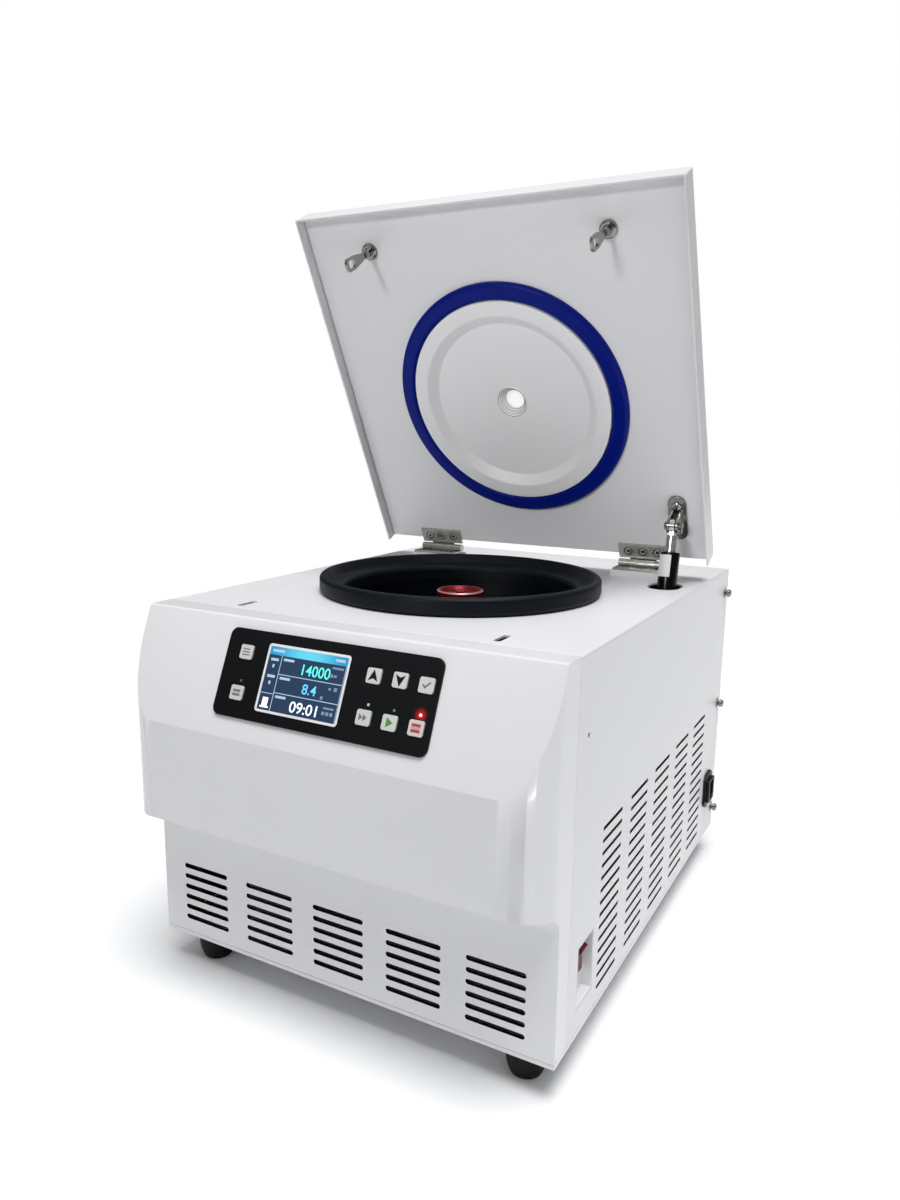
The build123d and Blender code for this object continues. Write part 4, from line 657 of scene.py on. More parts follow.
softened = {
    "base_tray": 0.6, "chassis_frame": 0, "front_fascia": 0, "top_plate": 0, "left_side_panel": 0.35,
    "right_side_panel": 0.35, "rear_panel": 0.35, "rear_fan_guard": 0.4, "panel_screws": 0.3,
    "evaporator_coil": 0, "chamber_insulation": 0, "armour_ring": 0, "motor_dampers": 0,
    "drive_motor": 0, "compressor": 0, "condenser": 0, "fan_shroud": 0.4, "refrigerant_line": 0,
    "circuit_boards": 0, "keypad_bezel": 0.4, "screen_module": 0.3, "power_inlet": 0.4,
    "switch_pocket": 0.3, "switch_housing": 0.3, "hinge_blocks": 0, "hinge_lower_leaves": 0.3,
    "hinge_pins": 0.3, "lock_housings": 0.3, "gas_anchor": 0.3, "lid_shell": 0.8, "lid_liner": 0.3,
    "lid_core": 0, "hinge_upper_leaves": 0.3, "gas_bracket": 0.4, "gas_fitting": 0.5,
    "gas_rod": 0.3, "spindle": 0, "rotor": 0, "condenser_fan": 0.3,
    "lock_bolt_left": 0.3, "lock_bolt_right": 0.3, "switch_rocker": 0.5, "feet": 0,
}
finishOver = {"gas_fitting": "satin_steel"}
skins = {node: dress(node, bevel, finish=finishOver.get(node)) for node, bevel in softened.items()}


def shadeInside(node, inside):
    # painted shade: the walls of the air slots and the inner faces are marked to take a near-black colour,
    # as in an unlit cabinet
    mesh = skins[node].data
    mask = mesh.attributes.new("inside", "FLOAT", "FACE")
    mask.data.foreach_set("value", [float(inside(p.center / mm, p.normal)) for p in mesh.polygons])


def panelInside(side, axis, low, high):
    # side is the outward sign along the panel's axis; low and high keep clear of its outer edges
    def inside(c, n):
        across = [k for k in range(3) if k != axis]
        within = all(low[k] < c[k] < high[k] for k in across)
        facing = n[axis] * side
        return facing < -squareOn or (abs(facing) < squareOn and within)
    return inside


squareOn = 0.5  # share of a normal along the panel's axis that counts as facing it
walls = {
    "right_side_panel": {"side": 1, "axis": 0, "low": (0, -195, 50), "high": (0, 285, 370)},
    "left_side_panel": {"side": -1, "axis": 0, "low": (0, -195, 50), "high": (0, 285, 370)},
    "rear_panel": {"side": 1, "axis": 1, "low": (-205, 0, 50), "high": (205, 0, 370)},
}
kick = {"skinY": -257.2, "halfWidth": 200, "low": 45, "high": 165}


def kickInside(c, n):
    return c.y > kick["skinY"] and abs(c.x) < kick["halfWidth"] and kick["low"] < c.z < kick["high"]


for node, wall in walls.items():
    shadeInside(node, panelInside(**wall))
shadeInside("front_fascia", kickInside)

# key caps a little narrower than their solids, with a dark gap round them
keyCap = {"bevel": 0.5, "narrower": 0.09}
keySpots = {
    "key_set": (-85.2, 32.0), "key_range": (-85.2, 69.5), "key_up": (53.5, 34.0), "key_down": (79.4, 34.0),
    "key_ok": (104.6, 34.4), "key_short": (52.2, 69.6), "key_start": (77.7, 69.7), "key_stop": (103.2, 69.8),
}
downhill = (facePoint(0, 1, 0) - facePoint(0, 0, 0)).normalized()
for node, spot in keySpots.items():
    cap = dress(node, keyCap["bevel"], segments=3)
    middle = facePoint(*spot, 0)
    for vertex in cap.data.vertices:
        away = vertex.co - middle
        flat = Vector((away.x, 0, 0)) + downhill * away.dot(downhill)
        vertex.co = vertex.co - keyCap["narrower"] * flat
print("solids dressed", len(softened))


# black rim of the chamber

rim = {
    "profile": [
        (125.6, -10), (127.8, -10), (127.8, 1.7), (139.2, 1.7), (139.2, 0), (149.6, 0), (152.6, 4),
        (152.6, 18.6), (144.6, 18.6), (139.5, 9), (127.1, 6), (125.6, 2),
    ],
    "corners": {6: 2.0, 7: 4.5, 8: 2.5, 9: 2.5, 10: 3.0, 11: 1.0}, "steps": 6, "sides": 192,
}
addTurned("chamber_rim", rim, chamberPlace, "gasket_rubber", "chamber_gasket")

# bowl under it
bowl = {
    "profile": [
        (30, -150), (128, -150), (128, 1.5), (139, 1.5), (139, 0), (129.5, 0), (129.5, -151.5), (30, -151.5),
    ],
    "corners": {1: 12, 6: 13.5}, "steps": 8, "sides": 144,
}
addTurned("bowl_liner", bowl, chamberPlace, "dark_bowl", "chamber_bowl")

# rotor cover and the knob that holds it down
cover = {
    "profile": [
        (8.3, -49.8), (20, -49.8), (73.5, -57.8), (83.5, -57.8), (83.5, -54.3), (75.5, -53.3), (22, -45.8),
        (8.3, -45.8),
    ],
    "corners": {3: 1.2, 4: 1.2, 5: 6, 6: 3}, "steps": 5, "sides": 120,
}
addTurned("rotor_cover_disc", cover, chamberPlace, "cover_alloy", "rotor_cover")


def knobPlace(x, y, h):
    r = (x * x + y * y) ** 0.5
    if r > knob["fluteFrom"] and h < knob["fluteBelow"]:
        wave = max(0.0, cos(knob["flutes"] * atan2(y, x))) ** knob["fluteSharp"]
        fade = min(1.0, (r - knob["fluteFrom"]) / knob["fluteFade"])
        inner = r - knob["fluteDeep"] * wave * fade
        x, y = x * inner / r, y * inner / r
    return chamberPlace(x, y, h)


addTurned("rotor_knob_head", knob, knobPlace, "knob_red", "rotor_knob")
print("chamber done")


# lid: disc, blue seal and sight glass

disc = {
    "profile": [
        (19.2, 2), (95, 2), (106, -7), (122.8, -7), (122.8, -0.2), (119, -0.2), (119, -4.5),
        (107.5, -4.5), (96.5, 4.5), (19.2, 4.5),
    ],
    "corners": {1: 3, 2: 4, 3: 1.6, 7: 3, 8: 3}, "steps": 6, "sides": 192,
}
addTurned("lid_inner_disc", disc, discPlace, "disc_white", "lid_disc")

seal = {
    "profile": [(123.2, 0), (123.2, -6.6), (142.2, -6.6), (142.2, 0)],
    "corners": {1: 4.5, 2: 4.5}, "steps": 8, "sides": 192,
}
addTurned("blue_ring_seal", seal, discPlace, "blue_seal", "lid_seal")

addTurned("sight_port", glass, discPlace, "clear_glass", "sight_glass")
print("lid done")


# gas spring cylinder with its bare label

spring = {
    "x": 186.5, "pinAhead": 68.4, "pinDown": 16.1, "tilt": 10.54,
    "profile": [
        (0, 30), (11, 30), (11, 146), (10.3, 147.5), (11, 149), (11, 155), (5.3, 155), (5.3, 38), (0, 38),
    ],
    "corners": {1: 1.5, 3: 0.6, 5: 1.5}, "steps": 5, "sides": 72,
    "label": {
        "from": -205, "to": -67, "top": 33.5, "bottom": 58.5, "radius": 11.02, "proud": 0.12,
        "parts": 28,
    },
}


def springPlace(x, y, h):
    # h runs down the spring from its upper pin, y across it towards the rear
    t = radians(spring["tilt"])
    pin = lidPoint(spring["x"], -spring["pinAhead"], -spring["pinDown"])
    down = Vector((0, -sin(t), -cos(t)))
    across = Vector((0, cos(t), -sin(t)))
    return pin + (Vector((x, 0, 0)) + across * y + down * h) * mm


addTurned("gas_cylinder_tube", spring, springPlace, "spring_black", "gas_cylinder")


def wrapLabel(label):
    # a thin bent sheet on the tube
    low, high = label["radius"], label["radius"] + label["proud"]
    top, bottom, count = label["top"], label["bottom"], label["parts"]
    points, faces = [], []
    for k in range(count + 1):
        t = radians(label["from"] + (label["to"] - label["from"]) * k / count)
        for r, h in ((low, top), (low, bottom), (high, bottom), (high, top)):
            points.append(springPlace(r * cos(t), r * sin(t), h))
    for k in range(count):
        faces += band(4 * k, 4 * k + 4, 4)
    faces += [(0, 1, 2, 3), tuple(4 * count + i for i in (3, 2, 1, 0))]
    return meshFrom("label", points, faces)


addPiece("gas_cylinder_label", wrapLabel(spring["label"]), "label_white", "spring_cylinder", "white_panel")
print("gas spring done")


# lock strikers: turned flange and neck, eye plate with its window

striker = {
    "spacing": 280.0, "ahead": 394.7, "length": 52.5, "sheet": 3.0, "half": 7.0, "neck": 3.6,
    "neckFrom": -11, "neckTo": -17, "shoulder": 7, "tipCut": 3.5, "bevel": 0.45,
    "plateCorners": {2: 6, 3: 4, 4: 2, 5: 2, 6: 2, 7: 2, 8: 4, 9: 6},
    "window": (8.4, 11.5), "windowUp": 9.9, "windowCorner": 1.5, "arcSteps": 4, "corner": 35,
    "flange": {
        "profile": [(0, 0), (9.2, 0), (9.2, -3.4), (7.4, -5), (4.5, -5), (4.5, -9), (3.6, -14), (0, -14)],
        "corners": {1: 0.3, 2: 1.6, 3: 0.8, 4: 0.6, 5: 0.8}, "steps": 4, "sides": 48,
    },
}


def strikerPlateOutline():
    half, neck, tip = striker["half"], striker["neck"], -striker["length"]
    root, waist, cut = striker["neckFrom"], striker["neckTo"], striker["tipCut"]
    shoulder = tip + striker["windowUp"] + striker["shoulder"]
    return rounded([
        (-neck, root), (neck, root), (neck, waist), (half, shoulder), (half, tip + cut), (half - cut, tip),
        (-half + cut, tip), (-half, tip + cut), (-half, shoulder), (-neck, waist),
    ], striker["plateCorners"], striker["arcSteps"])


def strikerMesh(x):
    def place(a, b, h):
        return lidPoint(x + a, -striker["ahead"] + b, machine["linerZ"] + h)

    def platePlace(a, b, h):
        return place(h, a, b)

    stem = turned("stem", striker["flange"], place)
    wide, tall = striker["window"]
    eye = striker["windowUp"] - striker["length"]
    window = roundBox(0, eye, wide, tall, striker["windowCorner"], striker["arcSteps"])
    side = striker["sheet"] / 2
    plateMesh = plateWithHole("plate", strikerPlateOutline(), window, -side, side, platePlace)
    return joinPieces("striker", [stem, plateMesh])


def plateWithHole(name, outer, inner, low, high, place):
    # a flat plate with one window: triangles fill both sides between the two rings
    mesh = bpy.data.meshes.new(name)
    work = bmesh.new()
    for level in (low, high):
        edges = []
        for ring in (outer, inner):
            verts = [work.verts.new((x, y, level)) for x, y in ring]
            edges += [work.edges.new((verts[i - 1], verts[i])) for i in range(len(verts))]
        bmesh.ops.triangle_fill(work, edges=edges, use_beauty=True)
    work.verts.ensure_lookup_table()
    half = len(work.verts) // 2
    start = 0
    for ring in (outer, inner):
        for face in band(start, half + start, len(ring)):
            work.faces.new([work.verts[k] for k in face])
        start += len(ring)
    bmesh.ops.recalc_face_normals(work, faces=work.faces)
    for vertex in work.verts:
        vertex.co = place(*vertex.co)
    bmesh.ops.recalc_face_normals(work, faces=work.faces)
    work.to_mesh(mesh)
    work.free()
    return mesh


hooks = joinPieces("hooks", [strikerMesh(side * striker["spacing"] / 2) for side in (-1, 1)])
strikerPiece = addPiece("striker_hooks", hooks, "zinc_steel", "lid", "zinc_steel")
softenEdges(strikerPiece, striker["bevel"], softening["pieceCorner"], 2)
smoothBy(strikerPiece.data, striker["corner"])
calmNormals(strikerPiece)
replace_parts(strikerPiece, "strikers")
print("strikers done")


# screen graphics on the control face

screenGlow = {
    "screen_back": ((0.020, 0.045, 0.10), 1.0),
    "screen_line": ((0.42, 0.60, 0.72), 1.0),
    "screen_faint": ((0.20, 0.30, 0.42), 1.0),
    "screen_cyan": ((0.10, 0.78, 0.72), 1.6),
    "screen_blue": ((0.12, 0.55, 0.95), 1.5),
    "screen_white": ((0.90, 0.95, 1.0), 1.5),
}
for name, (color, strength) in screenGlow.items():
    glowFinish(name, color, strength)

header = {
    "blue": (0.03, 0.30, 0.62), "dot": (0.03, 0.30, 0.60), "between": (0.02, 0.24, 0.50),
    "pale": (0.13, 0.66, 0.80), "middle": (-16, 24, 3), "reach": 45,
}


def headerFinish():
    # title bar of the screen, paler towards its middle
    f = glowFinish("screen_header", header["blue"], 1.0)
    glow = f.near(facePoint(*header["middle"]), header["reach"] * mm)
    grid = f.mix(f.cells(lit["dots"]), header["dot"], header["between"])
    f.set(Emission_Color=f.mix(glow, grid, header["pale"]))


headerFinish()

# boxes are left, top, right, bottom from a corner of their field
screen = {
    "left": -61.0, "right": 28.0, "top": 20.55, "bottom": 82.05, "frame": 2.2, "face": 2.8,
    "outerCorner": 3.0, "innerCorner": 1.0, "frameProud": 0.35, "backProud": 0.06, "headerProud": 0.1,
    "markProud": 0.14, "header": 7.5, "column": 14.5, "halfRule": 0.35, "ruleGap": 1,
    "menuRule": (1.2, 1.8), "edgeRule": (-1.2, -0.8),
    "titles": ((3, 2.4, 16, 4.8), (-13, 2.4, -3, 4.8)),
    "fieldLabel": (2.5, 2.0, 14, 4.2),
    "menu": ((3, 3, 11.5, 5.4), (6, 8.4, 8.2, 11.4)), "menuPitch": 15,
    "units": [
        (-14.5, 2.2, -3.0, 4.0), (-15.0, 8.6, -12.4, 11.4), (-11.6, 9.0, -8.6, 11.0),
        (-14.0, 20.4, -11.4, 22.4), (-8.4, 19.6, -5.2, 22.8), (-20.5, 28.6, -18.0, 31.4),
        (-15.0, 37.2, -4.0, 38.8), (-15.6, 41.0, -12.6, 44.0), (-11.4, 41.0, -8.4, 44.0),
        (-7.2, 41.0, -4.2, 44.0),
    ],
    "battery": [(4.2, 5.2, 10.2, 12.5), (2.6, 12.8, 11.8, 14.4)],
}


def faceSlab(name, outline, low, high):
    return slab(name, outline, low, high, facePoint)


def ringSlab(name, outer, inner, low, high):
    count = len(outer)
    points = [facePoint(*p, low) for p in outer] + [facePoint(*p, low) for p in inner]
    points += [facePoint(*p, high) for p in outer] + [facePoint(*p, high) for p in inner]
    faces = []
    for a, b in ((0, 1), (1, 3), (3, 2), (2, 0)):
        faces += band(a * count, b * count, count)
    return meshFrom(name, points, faces)


midU = (screen["left"] + screen["right"]) / 2
midV = (screen["top"] + screen["bottom"]) / 2
wide = screen["right"] - screen["left"]
tall = screen["bottom"] - screen["top"]
lip = screen["frame"]
face = screen["face"]
backTop = face + screen["backProud"]
headerTop = face + screen["headerProud"]
markTop = face + screen["markProud"]
addPiece("screen_frame", ringSlab(
    "screenFrame", roundBox(midU, midV, wide, tall, screen["outerCorner"]),
    roundBox(midU, midV, wide - 2 * lip, tall - 2 * lip, screen["innerCorner"]),
    face, face + screen["frameProud"],
), "label_white", "cabinet", "key_grey")
innerLeft, innerRight = screen["left"] + lip, screen["right"] - lip
innerTop, innerBottom = screen["top"] + lip, screen["bottom"] - lip
firstRow = innerTop + screen["header"]
addPiece("screen_glow", faceSlab(
    "screenBack", box2(innerLeft, innerTop, innerRight, innerBottom), face, backTop,
), "screen_back", "cabinet", "screen")
addPiece("screen_header_bar", faceSlab(
    "screenHeader", box2(innerLeft, innerTop, innerRight, firstRow), backTop, headerTop,
), "screen_header", "cabinet", "screen")


def boxFrom(u, v, corners):
    left, top, right, bottom = corners
    return box2(u + left, v + top, u + right, v + bottom)


def addMarks(name, outlines, finish):
    # flat marks of one colour on the screen, as one piece
    marks = [faceSlab("mark", outline, headerTop, markTop) for outline in outlines]
    addPiece(name, joinPieces(name, marks), finish, "cabinet", "screen")


columnU = innerLeft + screen["column"]
rowV = [firstRow + (innerBottom - firstRow) * k / 3 for k in range(4)]
half = screen["halfRule"]
lines = [box2(columnU, rowV[k] - half, innerRight - screen["ruleGap"], rowV[k] + half) for k in (1, 2)]
lines.append(box2(columnU - half, rowV[0], columnU + half, innerBottom))
menuTop, menuBottom = (rowV[2] + edge for edge in screen["menuRule"])
lines.append(box2(innerLeft, menuTop, columnU, menuBottom))
edgeLeft, edgeRight = (innerRight + edge for edge in screen["edgeRule"])
lines.append(box2(edgeLeft, rowV[0], edgeRight, innerBottom))
lines += [boxFrom(columnU, rowV[k], screen["fieldLabel"]) for k in range(3)]
for k in range(2):
    lines += [boxFrom(innerLeft, rowV[0] + screen["menuPitch"] * k, item) for item in screen["menu"]]
lines += [boxFrom(u, innerTop, title) for u, title in zip((innerLeft, innerRight), screen["titles"])]
addMarks("screen_lines", lines, "screen_line")
addMarks("screen_units", [boxFrom(innerRight, rowV[0], unit) for unit in screen["units"]], "screen_faint")
addMarks("screen_mark", [boxFrom(innerLeft, rowV[2], part) for part in screen["battery"]], "screen_white")

# plain numbers: their text, size, widening, row and place in it
numbers = {
    "number_speed": ("14000", 13.5, 0.97, 0, (38.4, 9.6), "screen_cyan"),
    "number_cold": ("8.4", 12.5, 1.02, 1, (36.6, 9.4), "screen_blue"),
    "number_time": ("09:01", 13.5, 1.08, 2, (36.0, 9.8), "screen_white"),
}
figure = {"bolder": 0.07, "thick": 0.02, "proud": 0.12}


def numberMesh(name, text, size, u, v, widening):
    curve = bpy.data.curves.new(name, "FONT")
    curve.body = text
    curve.size = size
    curve.align_x = "CENTER"
    curve.align_y = "CENTER"
    curve.offset = figure["bolder"]
    curve.extrude = figure["thick"]
    holder = inScene(name, curve)
    bpy.context.view_layer.update()
    graph = bpy.context.evaluated_depsgraph_get()
    mesh = bpy.data.meshes.new_from_object(holder.evaluated_get(graph))
    bpy.data.objects.remove(holder)
    for vertex in mesh.vertices:
        x, y, z = vertex.co
        vertex.co = facePoint(u + x * widening, v - y, face + figure["proud"] + z)
    return mesh


for name, (text, size, widening, row, (across, down), finish) in numbers.items():
    mesh = numberMesh(name, text, size, columnU + across, rowV[row] + down, widening)
    addPiece(name, mesh, finish, "cabinet", "screen", smooth=0)
print("screen done")


# signs on the keys and the status lamps

mouldFinish("sign_black", (0.004, 0.004, 0.005), rough=0.5, grain=0.0, gloss=0.2)
mouldFinish("sign_green", (0.08, 0.30, 0.03), rough=0.4, grain=0.0)
mouldFinish("sign_grey", (0.16, 0.165, 0.17), rough=0.5, grain=0.0)
mouldFinish("sign_red", (0.42, 0.06, 0.06), rough=0.5, grain=0.0)
signs = {
    "key_up": ("sign_black", [[(-4.9, 4.6), (0, -5.6), (4.9, 4.6), (0, 2.2)]]),
    "key_down": ("sign_black", [[(-4.9, -4.6), (0, 5.6), (4.9, -4.6), (0, -2.2)]]),
    "key_start": ("sign_green", [[(-2.8, -4.2), (3.8, 0), (-2.8, 4.2)]]),
    "key_ok": ("sign_grey", [
        [(-3.8, 0.2), (-2.7, -0.9), (-1.0, 0.9), (3.0, -3.2), (4.1, -2.1), (-1.0, 3.1)],
    ]),
    "key_set": ("sign_grey", [box2(-4, k * 2.6 - 0.55, 4, k * 2.6 + 0.55) for k in (-1, 0, 1)]),
    "key_range": ("sign_grey", [
        box2(-4.2, -2.9, 4.2, -0.9), box2(-4.2, -0.2, 4.2, 0.2), box2(-4.2, 0.9, 4.2, 2.9),
    ]),
    "key_short": ("sign_grey", [
        [(-4.2, -3), (-0.4, 0), (-4.2, 3)], [(-0.2, -3), (3.6, 0), (-0.2, 3)],
    ]),
    "key_stop": ("sign_red", [
        box2(-4.2, -3.6, 4.2, -1.0), box2(-4.2, -0.2, 4.2, 0.2), box2(-4.2, 1.0, 4.2, 3.6),
    ]),
}
sign = {"face": 3.3, "thick": 0.05}
for key, (finish, outlines) in signs.items():
    u, v = keySpots[key]
    marks = [
        faceSlab("mark", [(u + a, v + b) for a, b in outline], sign["face"], sign["face"] + sign["thick"])
        for outline in outlines
    ]
    addPiece(key + "_sign", joinPieces(key + "Sign", marks), finish, bodyOf(key), slotOf[key])

lamps = {
    "lamp_range": (-83.6, 58.3, (0.30, 0.32, 0.33), 0.12),
    "lamp_short": (54.3, 58.4, (0.45, 0.75, 0.50), 0.7),
    "lamp_start": (79.8, 59.1, (0.34, 0.40, 0.38), 0.25),
    "lamp_stop": (*stopLamp, (1.0, 0.34, 0.30), 5.0),
}
lampSides = 20
lampDome = [(0, 2.2), (1.25, 2.2), (1.25, 2.7), (1.05, 3.0), (0.6, 3.2), (0, 3.25)]
for name, (u, v, color, strength) in lamps.items():
    glowFinish(name, color, strength)
    mesh = lathe(name, lampDome, lambda x, y, h, u=u, v=v: facePoint(u + x, v + y, h), lampSides)
    addPiece(name, mesh, name, "cabinet", "screen")
print("keys done")


# hinge and bracket screws by Geometry Nodes

# rings from under the head to the bottom of its socket; shares are of the head or the socket
screw = {
    "sides": 24,
    "headRings": [(0.45, -2.6), (1.0, -0.35), (0.9, 0.0)],
    "socketRings": [(1.12, 0.0), (1.0, -0.25), (1.0, -1.5)],
}


def screwHead(name, radius, socket):
    # a head with a six-sided socket, its flat top at height 0
    sides = screw["sides"]
    perFlat = sides // 6
    turns = [tau * k / sides for k in range(sides)]
    corners = [turns[k - k % perFlat] for k in range(sides)]
    points, faces = [], []
    for rings, reach, angles in (
        (screw["headRings"], radius, turns), (screw["socketRings"], socket, corners),
    ):
        for share, height in rings:
            r = share * reach
            points += [(r * cos(t) * mm, r * sin(t) * mm, height * mm) for t in angles]
    last = len(points) - sides
    for start in range(0, last, sides):
        faces += band(start, start + sides, sides)
    faces.append(tuple(range(last, last + sides)))
    faces.append(tuple(range(sides))[::-1])
    return meshFrom(name, points, faces)


def scatterTree():
    tree = bpy.data.node_groups.new("screwsOnSpots", "GeometryNodeTree")
    sockets = (
        ("Geometry", "INPUT", "NodeSocketGeometry"), ("Screw", "INPUT", "NodeSocketObject"),
        ("Size", "INPUT", "NodeSocketFloat"), ("Finish", "INPUT", "NodeSocketMaterial"),
        ("Seed", "INPUT", "NodeSocketInt"), ("Geometry", "OUTPUT", "NodeSocketGeometry"),
    )
    for name, way, kind in sockets:
        tree.interface.new_socket(name, in_out=way, socket_type=kind)
    new = tree.nodes.new
    start, end = new("NodeGroupInput"), new("NodeGroupOutput")
    info = new("GeometryNodeObjectInfo")
    outward = new("GeometryNodeInputNamedAttribute")
    outward.data_type = "FLOAT_VECTOR"
    outward.inputs["Name"].default_value = "outward"
    align = new("FunctionNodeAlignRotationToVector")
    align.axis = "Z"
    spin = new("FunctionNodeRandomValue")
    spin.data_type = "FLOAT"
    around = new("FunctionNodeAxisAngleToRotation")
    turn = new("FunctionNodeRotateRotation")
    turn.rotation_space = "LOCAL"
    place = new("GeometryNodeInstanceOnPoints")
    real = new("GeometryNodeRealizeInstances")
    paintOn = new("GeometryNodeSetMaterial")
    spin.inputs[3].default_value = tau  # the largest turn
    routes = (
        (start, "Screw", info, "Object"), (outward, "Attribute", align, "Vector"),
        (start, "Seed", spin, "Seed"), (spin, 1, around, "Angle"),
        (align, 0, turn, 0), (around, 0, turn, 1),
        (start, "Geometry", place, "Points"), (info, "Geometry", place, "Instance"),
        (turn, 0, place, "Rotation"), (start, "Size", place, "Scale"),
        (place, "Instances", real, "Geometry"), (real, "Geometry", paintOn, "Geometry"),
        (start, "Finish", paintOn, "Material"), (paintOn, "Geometry", end, "Geometry"),
    )
    for source, output, target, socket in routes:
        tree.links.new(source.outputs[output], target.inputs[socket])
    return tree


screwTree = scatterTree()


def scatter(name, spots, head, finish, body, seed, size=1.0):
    # spots are (place, outward direction); one plain mesh comes out
    mesh = bpy.data.meshes.new(name)
    mesh.from_pydata([tuple(place) for place, _ in spots], [], [])
    outward = mesh.attributes.new("outward", "FLOAT_VECTOR", "POINT")
    outward.data.foreach_set("vector", [c for _, way in spots for c in way])
    holder, sample = inScene(name, mesh), inScene(name + "Head", head)
    tool = holder.modifiers.new("screws", "NODES")
    tool.node_group = screwTree
    values = {"Screw": sample, "Size": size, "Finish": finishes[finish], "Seed": seed}
    for item in screwTree.interface.items_tree:
        if item.in_out == "INPUT" and item.name in values:
            tool[item.identifier] = values[item.name]
    bakeModifiers(holder)
    bpy.data.objects.remove(sample)
    smoothBy(holder.data, 30)
    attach(holder, body)


hinge = {
    "spacing": 280.0, "pitch": 18.0, "along": -15.1, "face": 3.4, "sunk": 0.25, "head": 4.5, "socket": 2.3,
}
plate = {"x": 186.5, "ends": (-83.0, -50.0), "face": 2.9, "head": 4.6, "socket": 2.4, "proud": 1.6}
lidUp = lidTurn() @ Vector((0, 0, -1))
leafTop = hinge["face"] + hinge["sunk"]
spotsUpper, spotsLower = [], []
for side in (-1, 1):
    for k in (-1, 0, 1):
        x = side * hinge["spacing"] / 2 + k * hinge["pitch"]
        spotsUpper.append((lidPoint(x, hinge["along"], leafTop), lidUp))
        lower = flatPoint(x, machine["pivotY"] + hinge["along"], machine["pivotZ"] - leafTop)
        spotsLower.append((lower, Vector((0, 0, 1))))
sunkHead = screwHead("hexHead", hinge["head"], hinge["socket"])

# painted shade: a black ring round a sunk head and a black plug at the bottom of its socket, where the gap
# and the socket fall in shade
gap = {"wide": 1.0, "low": -0.5, "high": 0.05, "sides": 32, "socketLow": -1.6, "socketHigh": -0.6}


def screwShade(head, socket, sunk):
    outer = head + gap["wide"]
    ring = [(head, gap["low"]), (outer, gap["low"]), (outer, gap["high"]), (head, gap["high"])]
    six = [(socket * cos(tau * k / 6), socket * sin(tau * k / 6)) for k in range(6)]
    bottom = slab("hex", six, gap["socketLow"] - sunk, gap["socketHigh"] - sunk, flatPoint)
    return joinPieces("shade", [lathe("gap", ring, flatPoint, gap["sides"]), bottom])


def liftedSpots(spots, up):
    return [(place + up * mm * way, way) for place, way in spots]


shade = screwShade(hinge["head"], hinge["socket"], hinge["sunk"])
gapsUpper = liftedSpots(spotsUpper, hinge["sunk"])
gapsLower = liftedSpots(spotsLower, hinge["sunk"])
scatter("hinge_gaps_upper", gapsUpper, shade.copy(), "black_enamel", "lid", 3)
scatter("hinge_gaps_lower", gapsLower, shade, "black_enamel", "cabinet", 5)
buttonHead = screwHead("buttonHead", plate["head"], plate["socket"])
scatter("hinge_screws_upper", spotsUpper, sunkHead, "screw_steel", "lid", 3)
scatter("hinge_screws_lower", spotsLower, sunkHead, "screw_steel", "cabinet", 5)
spotsPlate = [(lidPoint(plate["x"], y, plate["face"] - plate["proud"]), lidUp) for y in plate["ends"]]
scatter("gas_bracket_screws", spotsPlate, buttonHead, "screw_steel", "lid", 7)

# painted shade: a black cross set into the cross recess of the pan heads on the sides
pan = {
    "out": 8.0, "places": ((16.0, 317.0), (15.0, 170.5), (10.0, 24.0)), "reach": 2.3, "width": 0.55,
    "low": -0.6, "high": 0.02, "step": 0.01,
}


def crossShade(reach, width):
    arms = [box2(-reach, -width, reach, width), box2(-width, -reach, width, reach)]
    return joinPieces("cross", [
        slab("arm", arm, pan["low"], pan["high"] + pan["step"] * k, flatPoint) for k, arm in enumerate(arms)
    ])


spotsPan = []
for side in (-1, 1):
    for behind, up in pan["places"]:
        x = side * (machine["halfWidth"] + pan["out"])
        spot = flatPoint(x, machine["rearY"] - behind, machine["baseZ"] + up)
        spotsPan.append((spot, Vector((side, 0, 0))))
cross = crossShade(pan["reach"], pan["width"])
scatter("side_screw_recesses", spotsPan, cross, "black_enamel", "cabinet", 9)
print("screws done")


# floor, lights and camera

studio = {
    "floor": (0.96, 0.965, 0.97),
    "floorEdges": (-1.2, -1.2, 5, 6),
    "room": [(0.0, 0.06), (0.12, 0.08), (0.5, 0.26), (1.0, 0.55)],
    "roomTint": (0.97, 0.98, 1.0),
    "sun": {"height": 76.0, "around": 42.0, "away": 4.0, "soft": 30.0, "power": 2.45},
    "lidLight": {
        "place": (-0.2, -2.0, 1.1), "aim": (0.02, 0.03, 0.60), "size": 0.6, "spread": 17.0, "power": 0.42,
    },
}
Finish("floor_pale").set(Base_Color=studio["floor"], Roughness=0.9, Specular_IOR_Level=0.1)
corners = [(x, y, 0) for x, y in box2(*studio["floorEdges"])]
floor = coated("floor", meshFrom("floor", corners, [(0, 1, 2, 3)]), "floor_pale")


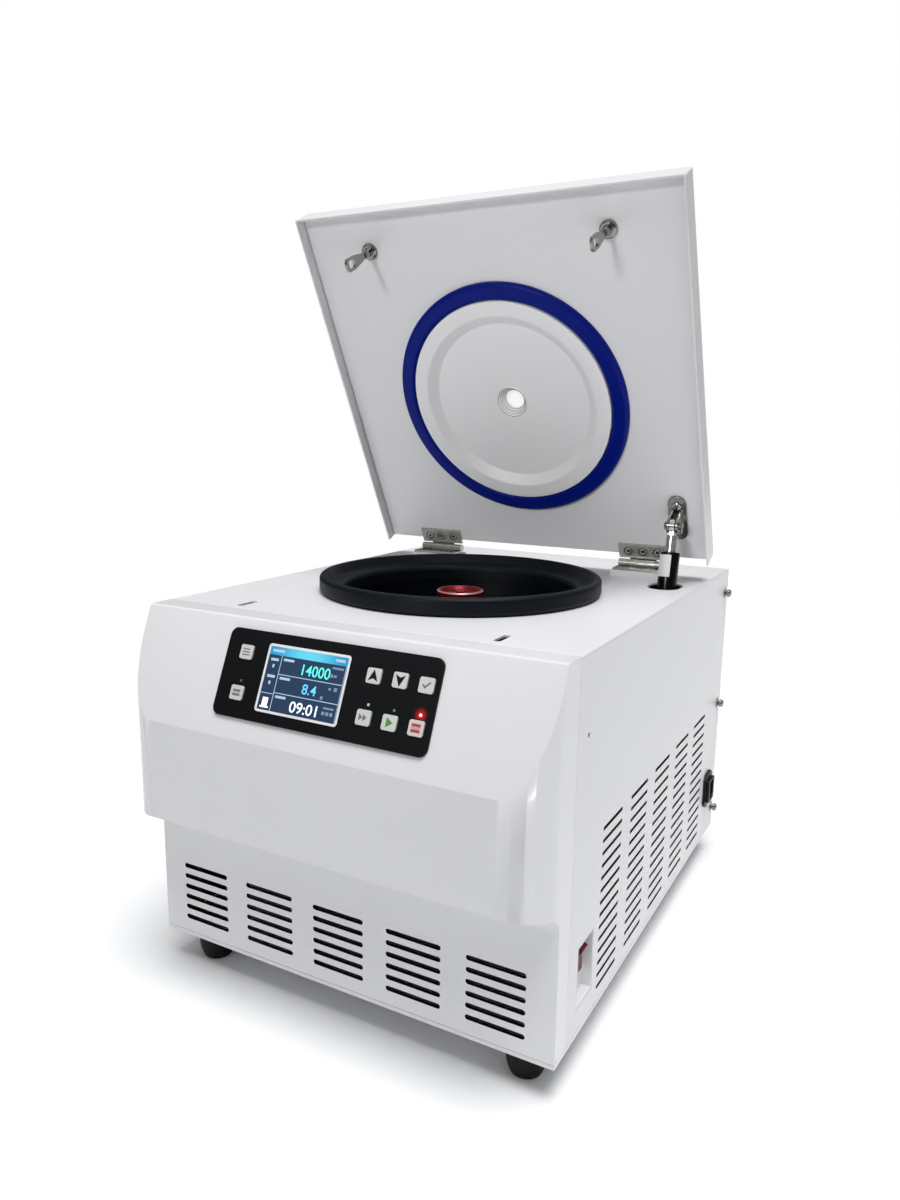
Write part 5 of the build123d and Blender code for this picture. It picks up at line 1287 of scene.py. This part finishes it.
def studioWorld():
    # a soft room, dim along its walls and bright overhead, that the camera sees as a white backdrop
    world = bpy.data.worlds.new("studio")
    world.use_nodes = True
    sky = Graph(world.node_tree)
    room = sky.tree.nodes["Background"]
    way = sky.node("ShaderNodeTexCoord", out="Generated")
    height = sky.node("ShaderNodeSeparateXYZ", None, {0: way}, out="Z")
    stops = [(up, tuple(part * light for part in studio["roomTint"])) for up, light in studio["room"]]
    sky.feed(room.inputs["Color"], sky.node("ShaderNodeValToRGB", {"stops": stops}, {0: height}))
    backdrop = sky.node("ShaderNodeBackground", None, {"Color": (1.0, 1.0, 1.0)})
    seen = sky.node("ShaderNodeLightPath", out="Is Camera Ray")
    glow = Value(sky, room.outputs[0])
    mixed = sky.node("ShaderNodeMixShader", None, {0: seen, 1: glow, 2: backdrop})
    sky.feed(sky.tree.nodes["World Output"].inputs["Surface"], mixed)
    bpy.context.scene.world = world
    bpy.context.scene.view_settings.view_transform = "Standard"


def addLamp(name, kind, where, aim, power):
    lamp = bpy.data.lights.new(name, kind)
    lamp.energy = power
    holder = inScene(name, lamp)
    holder.location = where
    holder.rotation_euler = (Vector(aim) - Vector(where)).to_track_quat("-Z", "Y").to_euler()
    return lamp


studioWorld()
high, around = radians(studio["sun"]["height"]), radians(studio["sun"]["around"])
sunPlace = Vector((cos(high) * cos(around), -cos(high) * sin(around), sin(high))) * studio["sun"]["away"]
sun = addLamp("key_light", "SUN", sunPlace, (0, 0, 0), studio["sun"]["power"])
sun.angle = radians(studio["sun"]["soft"])
lidLight = studio["lidLight"]
area = addLamp("lid_light", "AREA", lidLight["place"], lidLight["aim"], lidLight["power"])
area.size, area.spread = lidLight["size"], radians(lidLight["spread"])

view = {
    "place": (0.4580, -0.8823, 0.5600), "yaw": 28.765, "pitch": 10.921, "roll": 0.794, "lens": 27.03,
    "sensor": 36.0,
}
yaw, pitch, roll = (radians(view[k]) for k in ("yaw", "pitch", "roll"))
ahead = Vector((-sin(yaw) * cos(pitch), cos(yaw) * cos(pitch), -sin(pitch)))
right = Vector((cos(yaw), sin(yaw), 0))
up = right.cross(ahead)
rightRolled = right * cos(roll) + up * sin(roll)
upRolled = up * cos(roll) - right * sin(roll)
lens = bpy.data.cameras.new("photo_view")
lens.sensor_fit = "VERTICAL"
lens.sensor_height = view["sensor"]
lens.lens = view["lens"]
camera = inScene("photo_view", lens)
turn = Matrix((rightRolled, upRolled, -ahead)).transposed()
camera.matrix_world = Matrix.Translation(view["place"]) @ turn.to_4x4()
bpy.context.scene.camera = camera
print("studio done")
